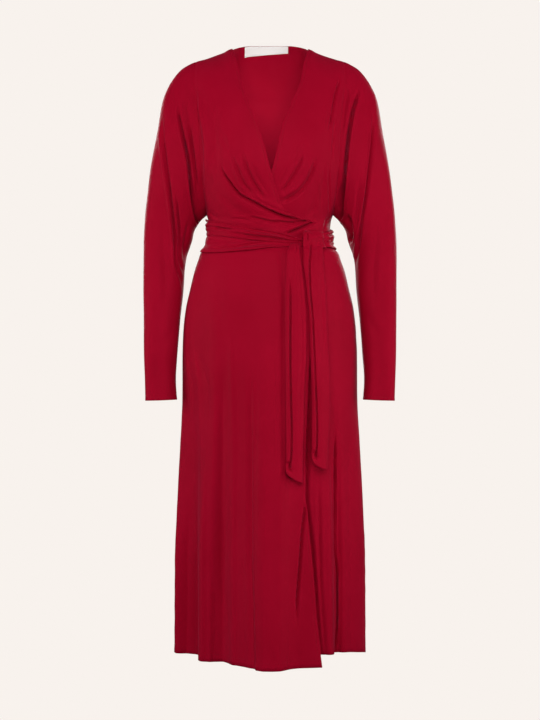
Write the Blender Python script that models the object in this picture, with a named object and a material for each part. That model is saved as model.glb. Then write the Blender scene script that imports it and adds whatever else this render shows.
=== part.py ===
"""Wrap dress in jersey, filled out as when it is worn, with nobody in it.

The dress faces -Y, so +X is the wearer's left. +Z is up, and the origin is in the middle of the
body at shoulder height. All sizes below are in millimetres; meshes are made in metres.
"""

import math

import bmesh
import bpy
import numpy as np

# ---------------------------------------------------------------- sizes
MM = 0.001
WALL = 1.5  # thickness of one layer of cloth, with its hems
SEAM_GAP = 0.3  # between two pieces at a seam
LAYER = 4.0  # the upper front's outer face, in front of the lower front's
WAIST_Z = -391.0
HEM_Z = -1204.0
UNDERARM_Z = -331.0
SHOULDER_TIP_Z = -23.5
SHOULDER_TIP_X = 150.0
NECK_POINT_X = 77.0
NECK_POINT_Z = 5.0
SEAM_Y_NECK = 14.0
SEAM_Y_TIP = 6.0
SHOULDER_ROUND = 60.0
ARM_STATIONS = 12  # rows down the armhole, on bodice and sleeve alike
SIDE_SEAM_Z = (-331.0, -345.0, -365.0, -391.0)  # rows below it
EDGE_FOOT_Z = (-370.0, -391.0)
BODICE_ROWS = ARM_STATIONS + len(SIDE_SEAM_Z) - 1
SASH_CLEAR = 0.5
LABEL_SIDES_X = (-52.0, 37.0)
LABEL_TOP_ROW = 0.12  # in rows of the back's net, down from the neck edge
LABEL_FOOT_ROW = 1.8
BACK_SEAMS_X = (-150, -125, -101, -77, -64.5, -52, -30, -8, 15, 37, 57, 77, 101, 125, 150)

CRIMSON = (0.33, 0.004, 0.022)
WHITE = (0.86, 0.86, 0.85)

# ---------------------------------------------------------------- tables
# the bodice: half width of its full section, depth to the front and to the back
TORSO_COLUMNS = ("z", "half_width", "front", "back")
TORSO = (
    (60, 172, 20, 50),
    (25, 172, 26, 58),
    (0, 172, 36, 68),
    (-50, 171, 60, 86),
    (-100, 168, 87, 95),
    (-150, 166, 104, 96),
    (-200, 163, 112, 90),
    (-240, 158, 111, 84),
    (-280, 147, 103, 79),
    (-310, 136, 94, 76),
    (-331, 126, 87, 74),
    (-345, 122, 82, 72),
    (-365, 120.5, 79, 72),
    (-391, 121.5, 81.5, 74.5),
)
# the armhole seen from the front
ARMHOLE_COLUMNS = ("z", "x")
ARMHOLE = (
    (-23, 150),
    (-60, 149.5),
    (-114, 144),
    (-166, 138.5),
    (-240, 134.5),
    (-290, 131),
    (-331, 126),
)
# top of the shoulder and of the back neck
SHOULDER_COLUMNS = ("x", "front_top", "back_top", "back_round_top")
SHOULDER = (
    (0, 5, 21, 66),
    (40, 5, 20, 52),
    (60, 5, 15.5, 32),
    (77, 5, 5, 5),
    (93, -4.5, -4.5, -4.5),
    (110, -11.5, -11.5, -11.5),
    (134, -19.5, -19.5, -19.5),
    (150, -23.5, -23.5, -23.5),
)
# the free edge of each front, from the neck point; "across" counts towards the other side
EDGE_COLUMNS = ("across", "z")
TOP_EDGE = (
    (-77, 5),
    (-67, -32),
    (-57, -75),
    (-44.5, -118),
    (-26, -162),
    (-13.5, -203),
    (-1, -249),
    (9, -283),
    (19, -312),
    (27, -328),
    (40, -337),
    (62, -343.5),
    (86, -348),
    (106, -352),
)
UNDER_EDGE = (
    (-77, 5),
    (-68, -32),
    (-58.5, -80),
    (-45, -114),
    (-32.5, -146),
    (-22.5, -172),
    (-15, -210),
    (-5, -250),
    (6, -285),
    (20, -315),
    (40, -335),
    (68, -346),
    (98, -352),
)
# sleeve rings: outer and inner point from the front, half depth, and how far the middle is back
SLEEVE_COLUMNS = ("ring", "outer_x", "outer_z", "inner_x", "inner_z", "half_depth", "middle_y")
SLEEVE = (
    (0, 150, -23, 126, -331, 60, 0),
    (1, 176, -38, 134, -338, 60, 0),
    (2, 203, -74, 141, -346, 61, 1),
    (3, 216, -110, 148, -355, 60, 2),
    (4, 224, -160, 153, -366, 58, 3),
    (5, 234, -220, 156, -380, 54, 4),
    (6, 242, -280, 161, -394, 50, 5),
    (7, 249, -340, 167, -412, 47, 5),
    (8, 252, -400, 170.5, -438, 44, 4),
    (9, 252, -470, 173, -482, 41, 0),
    (10, 251, -540, 179, -540, 37, -5),
    (11, 250, -610, 184, -606, 33, -11),
    (12, 248, -660, 187, -656, 30, -16),
    (13, 246.5, -700, 184.5, -698, 28, -20),
)
# the skirt: half width, depth to the front and to the back
SKIRT_COLUMNS = ("z", "half_width", "front", "back")
SKIRT = (
    (-391, 121.5, 81.5, 74.5),
    (-396, 125, 84, 77),
    (-401, 131, 89, 82),
    (-407, 136.5, 95, 88),
    (-420, 141, 100, 93),
    (-440, 148, 105, 98),
    (-480, 158, 111, 106),
    (-520, 167, 116, 114),
    (-560, 171.5, 120, 120),
    (-620, 174, 124, 124),
    (-700, 175, 127, 124),
    (-780, 179, 130, 126),
    (-860, 184, 134, 130),
    (-940, 188, 139, 135),
    (-1010, 191, 145, 139),
    (-1204, 192, 165, 150),
)
SKIRT_ROWS_Z = (-391, -397, -403, -412, -432, -470, -530, -610, -700, -800, -900, -1000, -1105, -1204)
# plan of the hem, by the angle that the same cloth has at the hip: each step is the side of a fold
HEM_COLUMNS = ("angle", "x", "y")
HEM_TOP = (
    (-90, -192, 0),
    (-80, -187, -9),
    (-70, -172, -13),
    (-60, -153, -16),
    (-54, -140, -22),
    (-50, -134.5, -36),
    (-46, -134.5, -54),
    (-42.5, -134, -70),
    (-39, -128, -81),
    (-35, -116, -87),
    (-31, -104, -86),
    (-27, -93, -85),
    (-23, -81, -97),
    (-20, -71, -111),
    (-17, -61, -121),
    (-12, -46, -133),
    (-8, -34, -146),
    (-5, -26, -160),
    (0, -10, -169),
    (6, 16, -168),
    (10, 28, -160),
    (13, 37, -151),
    (20, 60, -141),
    (30, 98, -136),
    (38, 118, -126),
)
HEM_UNDER = (
    (-28, -50, -118),
    (-14, -12, -126),
    (0, 28, -120),
    (10, 58, -106),
    (22, 90, -102),
    (30, 108, -98),
    (36, 121, -88),
    (41, 126, -66),
    (46, 131, -58),
    (52, 142, -62),
    (60, 156, -54),
    (70, 173, -36),
    (80, 187, -17),
    (90, 192, 0),
)
# the lower front is cut a little shorter than the upper one, and meets the back's hem at the side
RISE_COLUMNS = ("angle", "rise")
UNDER_RISE = (
    (-28, 16),
    (30, 16),
    (36, 14.5),
    (41, 12.5),
    (52, 13),
    (60, 11.5),
    (70, 7.8),
    (80, 3.7),
    (90, 0),
)
HEM_BACK = (
    (90, 192, 0),
    (105, 183, 48),
    (118, 160, 82),
    (130, 137, 92),
    (140, 116, 122),
    (152, 84, 140),
    (163, 52, 134),
    (172, 26, 151),
    (184, -14, 154),
    (196, -52, 137),
    (208, -84, 140),
    (219, -114, 124),
    (230, -138, 95),
    (242, -162, 84),
    (255, -183, 50),
    (270, -192, 0),
)
# the upper skirt front's free edge
OPENING_COLUMNS = ("z", "x")
OPENING = (
    (-391, 101),
    (-420, 99),
    (-500, 90),
    (-560, 82),
    (-600, 77.5),
    (-640, 74.5),
    (-680, 72.5),
    (-725, 71),
    (-761, 69),
    (-825, 67),
    (-880, 67),
    (-910, 71),
    (-944, 74),
    (-1001, 79.7),
    (-1040, 83),
    (-1120, 89),
    (-1204, 99),
)
UNDER_SKIRT_HIDDEN_ANGLE = -25.0
# sash, by angle round the waist from the front: top, line between its two turns, bottom
SASH_COLUMNS = ("angle", "top", "split", "bottom", "upper_puff", "lower_puff")
SASH = (
    (33, -387.5, -393.4, -396.8, 3.0, 1.2),
    (20, -379.5, -393.6, -399, 4.4, 1.6),
    (0, -370, -391.5, -402.5, 4.8, 2.6),
    (-20, -362, -387, -408.5, 4.6, 4.6),
    (-40, -355, -380, -410, 4.4, 5.0),
    (-65, -346, -375, -408, 4.2, 4.8),
    (-90, -338.5, -374, -402, 3.6, 4.4),
    (-135, -339, -374, -402, 4.0, 4.4),
    (-180, -341, -377, -406, 4.0, 4.2),
    (-225, -345, -380, -404, 3.8, 4.0),
    (-262, -359, -383, -399, 3.4, 3.2),
    (-285, -364, -386, -398, 3.2, 3.0),
    (-300, -369, -388, -397.5, 2.8, 2.6),
    (-307, -371, -389, -397, 2.4, 2.2),
)
SASH_ANGLES = (29.6, -306.0)  # from the knot, round by the wearer's right and the back, to the knot
KNOT_ANGLES = (30.0, 53.6)
KNOT_Z = (-399.5, -368.0)
KNOT_DEPTH = 17.0
# tails: left and right edge and how far in front of the skirt the cloth hangs
TAIL_COLUMNS = ("z", "left", "right", "clear")
TAIL_INNER = (
    (-403, 37, 58, 9.5),
    (-430, 31.5, 60, 10.5),
    (-454, 31, 62.5, 10),
    (-477, 30, 65.8, 9.5),
    (-529, 29.5, 69.5, 8.5),
    (-560, 29.5, 70, 8),
    (-610, 30, 69.5, 8),
    (-650, 30.5, 67, 8),
    (-700, 30.5, 65, 8),
    (-760, 31, 64, 8),
    (-845, 31, 62.5, 9),
)
TAIL_OUTER = (
    (-401, 64, 103, 12),
    (-430, 64.5, 103.6, 12),
    (-454, 67, 105.6, 12),
    (-477, 70, 107.8, 11.5),
    (-529, 74.5, 109.5, 11),
    (-560, 76, 110.8, 11),
    (-601, 77, 112.7, 10.5),
    (-664, 79.5, 115.4, 10),
    (-700, 80, 116.3, 10),
    (-736, 80.1, 115.2, 10),
    (-775, 80.1, 112.2, 10),
    (-818, 80.5, 110, 11),
)
TAIL_END_SLOPE = 0.35  # both tails are cut on the slant
# folds big enough to be part of the shape: seen from the front, start, middle, end, half width, height
FOLD_COLUMNS = ("piece", "x0", "z0", "x1", "z1", "x2", "z2", "half_width", "height")
FOLDS = (
    ("front_top", -88, -262, -20, -322, 60, -354, 10.0, 4.0),
    ("front_top", -58, -226, -28, -290, 20, -334, 9.0, -3.0),
    ("front_top", -100, -240, -50, -322, 20, -352, 9.0, -3.0),
    ("front_under", 62, -232, 44, -290, 24, -316, 8.0, -3.0),
    ("front_under", 88, -240, 70, -292, 36, -326, 8.0, -3.0),
    ("sleeve", 182, -130, 176, -240, 150, -338, 12.0, -10.0),
    ("sleeve", 206, -130, 200, -270, 182, -430, 14.0, -6.0),
    ("sleeve", 165, -110, 160, -220, 146, -320, 10.0, 4.0),
    ("sleeve", 214, -250, 202, -360, 186, -480, 12.0, -4.0),
    ("skirt_top", -146, -640, -139, -760, -142, -1150, 10.0, 5.0),
    ("skirt_top", -100, -800, -98, -950, -96, -1200, 14.0, -5.0),
    ("skirt_top", -38, -860, -32, -1000, -28, -1200, 9.0, -3.5),
    ("skirt_under", 128, -800, 129, -1000, 128, -1200, 7.0, -7.0),
    ("skirt_under", 112, -900, 116, -1050, 114, -1200, 8.0, 3.0),
)


# ---------------------------------------------------------------- curves through tables
class Track:
    """A smooth line through a table's rows, with no overshoot between them."""

    def __init__(self, rows, names, key):
        k = names.index(key)
        data = np.array(sorted(rows, key=lambda r: r[k]), float)
        self.x = data[:, k]
        self.columns = {}
        for i, name in enumerate(names):
            if i != k:
                self.columns[name] = (data[:, i], self.slopes(data[:, i]))

    def slopes(self, y):
        h = np.diff(self.x)
        d = np.diff(y) / h
        m = np.zeros_like(y)
        m[0], m[-1] = d[0], d[-1]
        for i in range(1, len(y) - 1):
            if d[i - 1] * d[i] > 0:
                w1, w2 = 2 * h[i] + h[i - 1], h[i] + 2 * h[i - 1]
                m[i] = (w1 + w2) / (w1 / d[i - 1] + w2 / d[i])
        return m

    def __call__(self, name, at):
        y, m = self.columns[name]
        t = np.clip(np.asarray(at, float), self.x[0], self.x[-1])
        i = np.clip(np.searchsorted(self.x, t, side="right") - 1, 0, len(self.x) - 2)
        h = self.x[i + 1] - self.x[i]
        s = (t - self.x[i]) / h
        a, b = y[i], y[i + 1]
        return (
            a * (1 + 2 * s) * (1 - s) ** 2
            + b * s * s * (3 - 2 * s)
            + h * m[i] * s * (1 - s) ** 2
            + h * m[i + 1] * s * s * (s - 1)
        )


def by_length(rows):
    """A Track of a line's two columns against the share of its length, from 0 to 1."""
    p = np.array(rows, float)
    run = np.concatenate(([0.0], np.cumsum(np.hypot(*np.diff(p, axis=0).T))))
    return Track(
        [(r / run[-1], a, b) for r, (a, b) in zip(run, p)], ("share", "across", "z"), "share"
    )


torso = Track(TORSO, TORSO_COLUMNS, "z")
armhole = Track(ARMHOLE, ARMHOLE_COLUMNS, "z")
shoulder = Track(SHOULDER, SHOULDER_COLUMNS, "x")
sleeve = Track(SLEEVE, SLEEVE_COLUMNS, "ring")
skirt = Track(SKIRT, SKIRT_COLUMNS, "z")
opening = Track(OPENING, OPENING_COLUMNS, "z")
under_rise = Track(UNDER_RISE, RISE_COLUMNS, "angle")
sash = Track(SASH, SASH_COLUMNS, "angle")
hem = {
    "top": Track(HEM_TOP, HEM_COLUMNS, "angle"),
    "under": Track(HEM_UNDER, HEM_COLUMNS, "angle"),
    "back": Track(HEM_BACK, HEM_COLUMNS, "angle"),
}


def smooth(t):
    t = np.clip(t, 0, 1)
    return t * t * (3 - 2 * t)


# ---------------------------------------------------------------- the body's form
def edge_angle(z):
    """Angle at which the bodice ends at the armhole or the side seam."""
    z = np.minimum(z, SHOULDER_TIP_Z)
    share = np.where(z < UNDERARM_Z, 1.0, armhole("x", z) / torso("half_width", z))
    return np.arcsin(np.clip(share, -1, 1))


def bodice_point(angle, z, back=False, out=0.0):
    """A point on the bodice by its angle from the middle of its front or back, and its height."""
    wide = torso("half_width", z) + out * np.abs(np.sin(angle))
    deep = torso("back" if back else "front", z) + out
    x = wide * np.sin(angle)
    side = np.minimum(np.abs(x), SHOULDER_TIP_X)
    top = shoulder("back_round_top" if back else "front_top", side)
    drop = np.clip((top - z) / SHOULDER_ROUND, 0, 1)
    rise = (1 - (1 - drop) ** 2.2) ** (1 / 2.2)
    seam = SEAM_Y_NECK + (SEAM_Y_TIP - SEAM_Y_NECK) * side / SHOULDER_TIP_X
    way = 1.0 if back else -1.0
    y = seam + (way * deep * np.cos(angle) - seam) * rise
    return np.stack(np.broadcast_arrays(x, y, z), -1)


def armhole_z(turn):
    """Height on the armhole by its turn, 0 at the shoulder and pi at the underarm."""
    return SHOULDER_TIP_Z + (UNDERARM_Z - SHOULDER_TIP_Z) * (1 - np.cos(turn)) / 2


def armhole_out(turn, side, way):
    """The outward direction that bodice and sleeve share along the armhole."""
    c, s = np.cos(turn), np.abs(np.sin(turn))
    nx = 0.45 * s + 0.7 * np.maximum(0, -c) ** 2 + 0.3 * np.maximum(0, c) ** 2
    n = np.stack([side * nx, way * s, c], -1)
    return n / np.linalg.norm(n, axis=-1, keepdims=True)


def side_line(v):
    """Height down the armhole and the side seam, v from 0 at the shoulder to 1 at the waist."""
    row = np.asarray(v, float) * BODICE_ROWS
    turn = np.clip(row / ARM_STATIONS, 0, 1) * math.pi
    below = np.interp(row - ARM_STATIONS, range(len(SIDE_SEAM_Z)), SIDE_SEAM_Z)
    return np.where(row > ARM_STATIONS, below, armhole_z(turn))


# ---------------------------------------------------------------- folds
def fold_line(row, n=13):
    """Points of a fold's crest, through its start, middle and end."""
    t = np.linspace(0, 1, n)[:, None]
    a, b, c = (np.array(row[i : i + 2], float) for i in (1, 3, 5))
    m = 2 * b - (a + c) / 2
    return (1 - t) ** 2 * a + 2 * t * (1 - t) * m + t * t * c


def fold_height(points, piece, mirror=1.0):
    """How far the folds of a piece stand out at each point, by its place seen from the front."""
    total = np.zeros(points.shape[:-1])
    flat = np.stack([points[..., 0] * mirror, points[..., 2]], -1)
    for row in FOLDS:
        if row[0] != piece:
            continue
        line = fold_line(row)
        a, b = line[:-1], line[1:]
        ab = b - a
        rel = flat[..., None, :] - a
        t = np.clip((rel * ab).sum(-1) / (ab * ab).sum(-1), 0, 1)
        dist = np.linalg.norm(rel - t[..., None] * ab, axis=-1)
        best = dist.argmin(-1)
        near = np.take_along_axis(dist, best[..., None], -1)[..., 0]
        along = (best + np.take_along_axis(t, best[..., None], -1)[..., 0]) / (len(line) - 1)
        taper = smooth(along / 0.3) * smooth((1 - along) / 0.15)
        total += row[8] * taper * np.exp(-((near / row[7]) ** 2))
    return total


def normals(p, wrap=False):
    """Unit normals of a grid of points, rows first."""
    if wrap:
        du = np.roll(p, -1, 1) - np.roll(p, 1, 1)
    else:
        du = np.gradient(p, axis=1)
    dv = np.gradient(p, axis=0)
    n = np.cross(du, dv)
    return n / np.maximum(np.linalg.norm(n, axis=-1, keepdims=True), 1e-9)


def facing(n, p, centre):
    """The same normals, turned to point away from a centre line."""
    away = p - centre
    return n if (n * away).sum() > 0 else -n


# ---------------------------------------------------------------- meshes
def draw_in(p, edges, by=SEAM_GAP / 2):
    """The grid with the named edges drawn in along the cloth by half a seam's gap."""
    p = p.copy()
    pairs = {
        "top": (np.s_[0], np.s_[1]),
        "bottom": (np.s_[-1], np.s_[-2]),
        "left": (np.s_[:, 0], np.s_[:, 1]),
        "right": (np.s_[:, -1], np.s_[:, -2]),
    }
    for e in edges:
        a, b = pairs[e]
        step = p[b] - p[a]
        p[a] = p[a] + by * step / np.linalg.norm(step, axis=-1, keepdims=True)
    return p


def cloth(name, outer, out, colour, wall=WALL, wrap=False, rough=0.6):
    """One layer of cloth: a closed wall from its outer face, with the outward directions given."""
    rows, cols = outer.shape[:2]
    inner = outer - out * wall
    bm = bmesh.new()
    layers = [
        [[bm.verts.new(tuple(q * MM)) for q in line] for line in face] for face in (outer, inner)
    ]
    last = cols if wrap else cols - 1
    for k, grid in enumerate(layers):
        for i in range(rows - 1):
            for j in range(last):
                quad = [grid[i][j], grid[i][(j + 1) % cols], grid[i + 1][(j + 1) % cols], grid[i + 1][j]]
                bm.faces.new(quad if k == 0 else quad[::-1])
    o, n = layers
    for j in range(last):
        k = (j + 1) % cols
        bm.faces.new([o[0][k], o[0][j], n[0][j], n[0][k]])
        bm.faces.new([o[-1][j], o[-1][k], n[-1][k], n[-1][j]])
    if not wrap:
        for i in range(rows - 1):
            bm.faces.new([o[i][0], o[i + 1][0], n[i + 1][0], n[i][0]])
            bm.faces.new([o[i + 1][-1], o[i][-1], n[i][-1], n[i + 1][-1]])
    bmesh.ops.triangulate(bm, faces=bm.faces[:])
    if bm.calc_volume(signed=True) < 0:
        bmesh.ops.reverse_faces(bm, faces=bm.faces[:])
    return finish(name, bm, colour, rough)


def finish(name, bm, colour, rough=0.6):
    mesh = bpy.data.meshes.new(name)
    bm.to_mesh(mesh)
    bm.free()
    mesh.shade_smooth()
    mesh.set_sharp_from_angle(angle=math.radians(50))
    obj = bpy.data.objects.new(name, mesh)
    bpy.context.scene.collection.objects.link(obj)
    mat = bpy.data.materials.new(name)
    mat.use_nodes = True
    bsdf = mat.node_tree.nodes["Principled BSDF"]
    bsdf.inputs["Base Color"].default_value = (*colour, 1.0)
    bsdf.inputs["Roughness"].default_value = rough
    bsdf.inputs["Metallic"].default_value = 0.0
    mesh.materials.append(mat)
    return obj


# ---------------------------------------------------------------- bodice
def front_grid(edge_rows, side, top_layer, rows, cols):
    """One front, as a net between its armhole, its shoulder seam, its free edge and the waist."""
    edge = by_length(edge_rows)
    u = np.linspace(0, 1, cols + 1)
    v = np.linspace(0, 1, rows + 1)
    left_z = side_line(v)
    left = np.stack([-edge_angle(left_z), left_z], -1)
    out = LAYER if top_layer else 0.0
    share = v * rows / (rows - len(EDGE_FOOT_Z))  # the rows below the free edge go down to the waist
    reach = np.clip(share, 0, 1)
    ex, ez = edge("across", reach), edge("z", reach)
    ez[-len(EDGE_FOOT_Z) :] = EDGE_FOOT_Z
    right = np.stack([np.arcsin(np.clip(ex / (torso("half_width", ez) + out), -1, 1)), ez], -1)
    tx = -SHOULDER_TIP_X + (SHOULDER_TIP_X - NECK_POINT_X) * u
    tz = shoulder("front_top", np.abs(tx))
    top = np.stack([np.arcsin(tx / torso("half_width", tz)), tz], -1)
    bottom = left[-1] + (right[-1] - left[-1]) * u[:, None]
    top[0], top[-1] = left[0], right[0]
    U, V = u[None, :, None], v[:, None, None]
    net = (
        (1 - U) * left[:, None]
        + U * right[:, None]
        + (1 - V) * top[None]
        + V * bottom[None]
        - (1 - U) * (1 - V) * left[0]
        - U * (1 - V) * right[0]
        - (1 - U) * V * left[-1]
        - U * V * right[-1]
    )
    angle, z = net[..., 0], net[..., 1]
    lift = out * smooth((angle + edge_angle(z)) / 0.32)
    p = bodice_point(angle, z, out=lift)
    p[..., 0] *= -side
    return p


def bodice_out(p, n, side_signs, top_cols):
    """Outward directions with the ones that neighbours share put in at the seams."""
    rows = p.shape[0] - 1
    turn = math.pi * np.arange(ARM_STATIONS + 1) / ARM_STATIONS
    for col, side in side_signs:
        way = -1.0 if p[rows // 2, col, 1] < 0 else 1.0
        n[: ARM_STATIONS + 1, col] = armhole_out(turn, side, way)
        n[ARM_STATIONS + 1 :, col] = (side, 0.0, 0.0)
    for j in top_cols:
        s = np.sign(p[0, j, 0])
        n[0, j] = np.array((0.3 * s, 0.0, 1.0)) / math.hypot(0.3, 1.0)
    n[-1, :, 2] = 0.0
    n[-1] /= np.linalg.norm(n[-1], axis=-1, keepdims=True)
    return n


def above_sash(p):
    """1 on the open front and 0 where the sash or its knot holds the cloth flat."""
    angle = np.degrees(np.arcsin(np.clip(p[..., 0] / torso("half_width", p[..., 2]), -1, 1)))
    top = np.where(angle > KNOT_ANGLES[0] - 3, KNOT_Z[1], sash("top", angle))
    return smooth((p[..., 2] - top - 2) / 14)


def build_front(name, edge_rows, side, top_layer, piece, cols=10):
    rows = BODICE_ROWS
    p = front_grid(edge_rows, side, top_layer, rows, cols)
    n = facing(normals(p), p, np.array((0, 0, -200.0)))
    away = smooth(np.linspace(0, 1, cols + 1) / 0.25)[None, :] * np.ones((rows + 1, 1))
    away[0] = 0
    away[-1] *= 0.3
    height = fold_height(p, piece) * away * above_sash(p)
    if top_layer:
        height = np.maximum(height, -0.6)
    p = p + n * height[..., None]
    n = facing(normals(p), p, np.array((0, 0, -200.0)))
    n = bodice_out(p, n, [(0, side)], range(cols + 1))
    p = draw_in(p, ("top", "left", "bottom"))
    return cloth(name, p, n, CRIMSON)


def back_grid(rows):
    x_top = np.array(BACK_SEAMS_X, float)
    tip = float(edge_angle(SHOULDER_TIP_Z))
    u = np.arcsin(x_top / torso("half_width", 0.0)) / tip
    v = np.linspace(0, 1, rows + 1)
    z_side = side_line(v)
    z_top = shoulder("back_top", np.clip(np.abs(x_top), 0, SHOULDER_TIP_X))
    share = (z_side - z_side[0]) / (z_side[-1] - z_side[0])
    z = z_top[None, :] + share[:, None] * (WAIST_Z - z_top[None, :])
    angle = u[None, :] * edge_angle(z)
    return bodice_point(angle, z, back=True)


def build_back(name):
    rows = BODICE_ROWS
    p = back_grid(rows)
    cols = p.shape[1] - 1
    n = facing(normals(p), p, np.array((0, 0, -200.0)))
    seam = [j for j in range(cols + 1) if abs(p[0, j, 0]) > NECK_POINT_X - 6]
    n = bodice_out(p, n, [(0, -1.0), (cols, 1.0)], seam)
    p = draw_in(p, ("left", "right", "bottom"))
    q = draw_in(p, ("top",))
    p[0, seam] = q[0, seam]
    return cloth(name, p, n, CRIMSON)


# ---------------------------------------------------------------- sleeves
def sleeve_grid(side, rings, turns):
    """Rings from the armhole to the cuff; turn 0 is the outer line and pi the inner one."""
    r = np.asarray(rings)[:, None]
    turn = np.asarray(turns)[None, :]
    share = (1 - np.cos(turn)) / 2
    ox, oz = sleeve("outer_x", r), sleeve("outer_z", r)
    ix, iz = sleeve("inner_x", r), sleeve("inner_z", r)
    front = np.sin(turn) > 0
    hz = armhole_z(turn)
    angle = edge_angle(hz)
    hole = np.where(
        front[..., None], bodice_point(angle, hz), bodice_point(angle, hz, back=True)
    )
    ends = np.abs(np.sin(turn)) < 1e-6
    hole_y = np.where(ends, (bodice_point(angle, hz)[..., 1] + bodice_point(angle, hz, back=True)[..., 1]) / 2, hole[..., 1])
    bow = armhole("x", hz) - (SHOULDER_TIP_X + (126.0 - SHOULDER_TIP_X) * share)
    own = smooth(r / 4.5)
    full = np.abs(np.sin(turn)) ** 0.85 * np.where(front, -1.0, 1.0)
    round_y = sleeve("middle_y", r) + sleeve("half_depth", r) * full
    x = ox + (ix - ox) * share + bow * (1 - own)
    z = oz + (iz - oz) * share
    y = hole_y * (1 - own) + round_y * own
    p = np.stack(np.broadcast_arrays(x, y, z), -1)
    p[..., 0] *= side
    return p


def build_sleeve(name, side):
    rings = (0, 0.5, 1.1, 1.9, 2.8, 3.8, 4.9, 6, 7, 8, 9, 10.4, 11.8, 13)
    turns = np.arange(2 * ARM_STATIONS) * math.pi / ARM_STATIONS
    p = sleeve_grid(side, rings, turns)
    centre = p.mean(1, keepdims=True)
    n = facing(normals(p, wrap=True), p, centre)
    start = smooth(np.array(rings) / 1.6)[:, None]
    height = fold_height(p, "sleeve", mirror=side) * start * np.where(p[..., 1] < centre[..., 1], 1.0, 0.5)
    p = p + n * height[..., None]
    n = facing(normals(p, wrap=True), p, p.mean(1, keepdims=True))
    way = np.where(np.sin(turns) > 1e-9, -1.0, 1.0)
    n[0] = armhole_out(turns, side, way)
    p = draw_in(p, ("top",))
    return cloth(name, p, n, CRIMSON, wrap=True)


# ---------------------------------------------------------------- skirt
def skirt_point(angle, z, part, out=0.0):
    """A point of the skirt by its angle at the hip and its height; folds grow towards the hem."""
    a = np.radians(angle)
    wide, deep = skirt("half_width", z), skirt("back" if part == "back" else "front", z)
    grow = smooth((-430 - z) / (-430 - HEM_Z)) ** 0.9
    wide_hem, deep_hem = skirt("half_width", HEM_Z), skirt("back" if part == "back" else "front", HEM_Z)
    hx = hem[part]("x", angle) * wide / wide_hem
    hy = hem[part]("y", angle) * deep / deep_hem
    x = (wide + out * np.abs(np.sin(a))) * np.sin(a) * (1 - grow) + hx * grow
    y = -(deep + out) * np.cos(a) * (1 - grow) + hy * grow
    return np.stack(np.broadcast_arrays(x, y, z), -1)


def opening_angle(z):
    """Angle at which the upper skirt front reaches its free edge, for each height."""
    trial = np.linspace(10, 38, 113)
    found = []
    for h in np.atleast_1d(z):
        x = skirt_point(trial, np.full_like(trial, h), "top", LAYER)[:, 0]
        found.append(np.interp(opening("x", h), x, trial))
    return np.array(found)


def skirt_grid(part, zs, cols):
    zs = np.asarray(zs, float)
    t = np.linspace(0, 1, cols + 1)
    if part == "top":
        end = opening_angle(zs)[:, None]
        angle = -90 + (end + 90) * t[None, :]
        lift = LAYER * smooth((angle + 90) / 14)
    elif part == "under":
        angle = UNDER_SKIRT_HIDDEN_ANGLE + (90 - UNDER_SKIRT_HIDDEN_ANGLE) * t[None, :] + 0 * zs[:, None]
        lift = 0.0
    else:
        angle = 90 + 180 * t[None, :] + 0 * zs[:, None]
        lift = 0.0
    p = skirt_point(angle, zs[:, None] + 0 * angle, part, lift)
    if part == "under":
        p[..., 2] = WAIST_Z + (p[..., 2] - WAIST_Z) * (1 - under_rise("rise", angle) / (WAIST_Z - HEM_Z))
    return p


def build_skirt(name, part, cols, seams):
    p = skirt_grid(part, SKIRT_ROWS_Z, cols)
    centre = p * np.array((0.0, 0.0, 1.0))
    n = facing(normals(p), p, centre)
    height = fold_height(p, "skirt_" + part)
    p = p + n * height[..., None] * np.array((1.0, 1.0, 0.0))
    n = facing(normals(p), p, centre)
    for col, side in seams:
        n[:, col] = (side, 0.0, 0.0)
    n[0, :, 2] = 0.0
    n[-1, :, 2] = 0.0
    for i in (0, -1):
        n[i] /= np.linalg.norm(n[i], axis=-1, keepdims=True)
    p[0, :, 2] = WAIST_Z - SEAM_GAP / 2
    edges = ["left" if col == 0 else "right" for col, _ in seams]
    for e, (col, side) in zip(edges, seams):
        inner = 1 if col == 0 else -2
        step = p[:, inner, 1] - p[:, col, 1]
        p[:, col, 1] += np.sign(step) * SEAM_GAP / 2
    return cloth(name, p, n, CRIMSON)


# ---------------------------------------------------------------- sash
def waist_ring(angle, z, out):
    """A point outside the waist: the wider of bodice and skirt there, moved out."""
    a = np.radians(angle)
    back = np.cos(a) < 0
    wide = np.where(z > WAIST_Z, torso("half_width", z), skirt("half_width", z))
    front = np.where(z > WAIST_Z, torso("front", z), skirt("front", z))
    rear = np.where(z > WAIST_Z, torso("back", z), skirt("back", z))
    deep = np.where(back, rear, front)
    x = (wide + out) * np.sin(a)
    y = -(deep + out) * np.cos(a)
    return np.stack(np.broadcast_arrays(x, y, z), -1)


def sash_lift(angle):
    """How far the sash is from the bodice's own form: both fronts lie under it in front."""
    from_front = np.where(angle < -180, angle + 360, angle)
    return 1.4 + (LAYER - 1.4) * smooth((from_front + 88) / 16) * smooth((72 - from_front) / 9)


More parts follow.
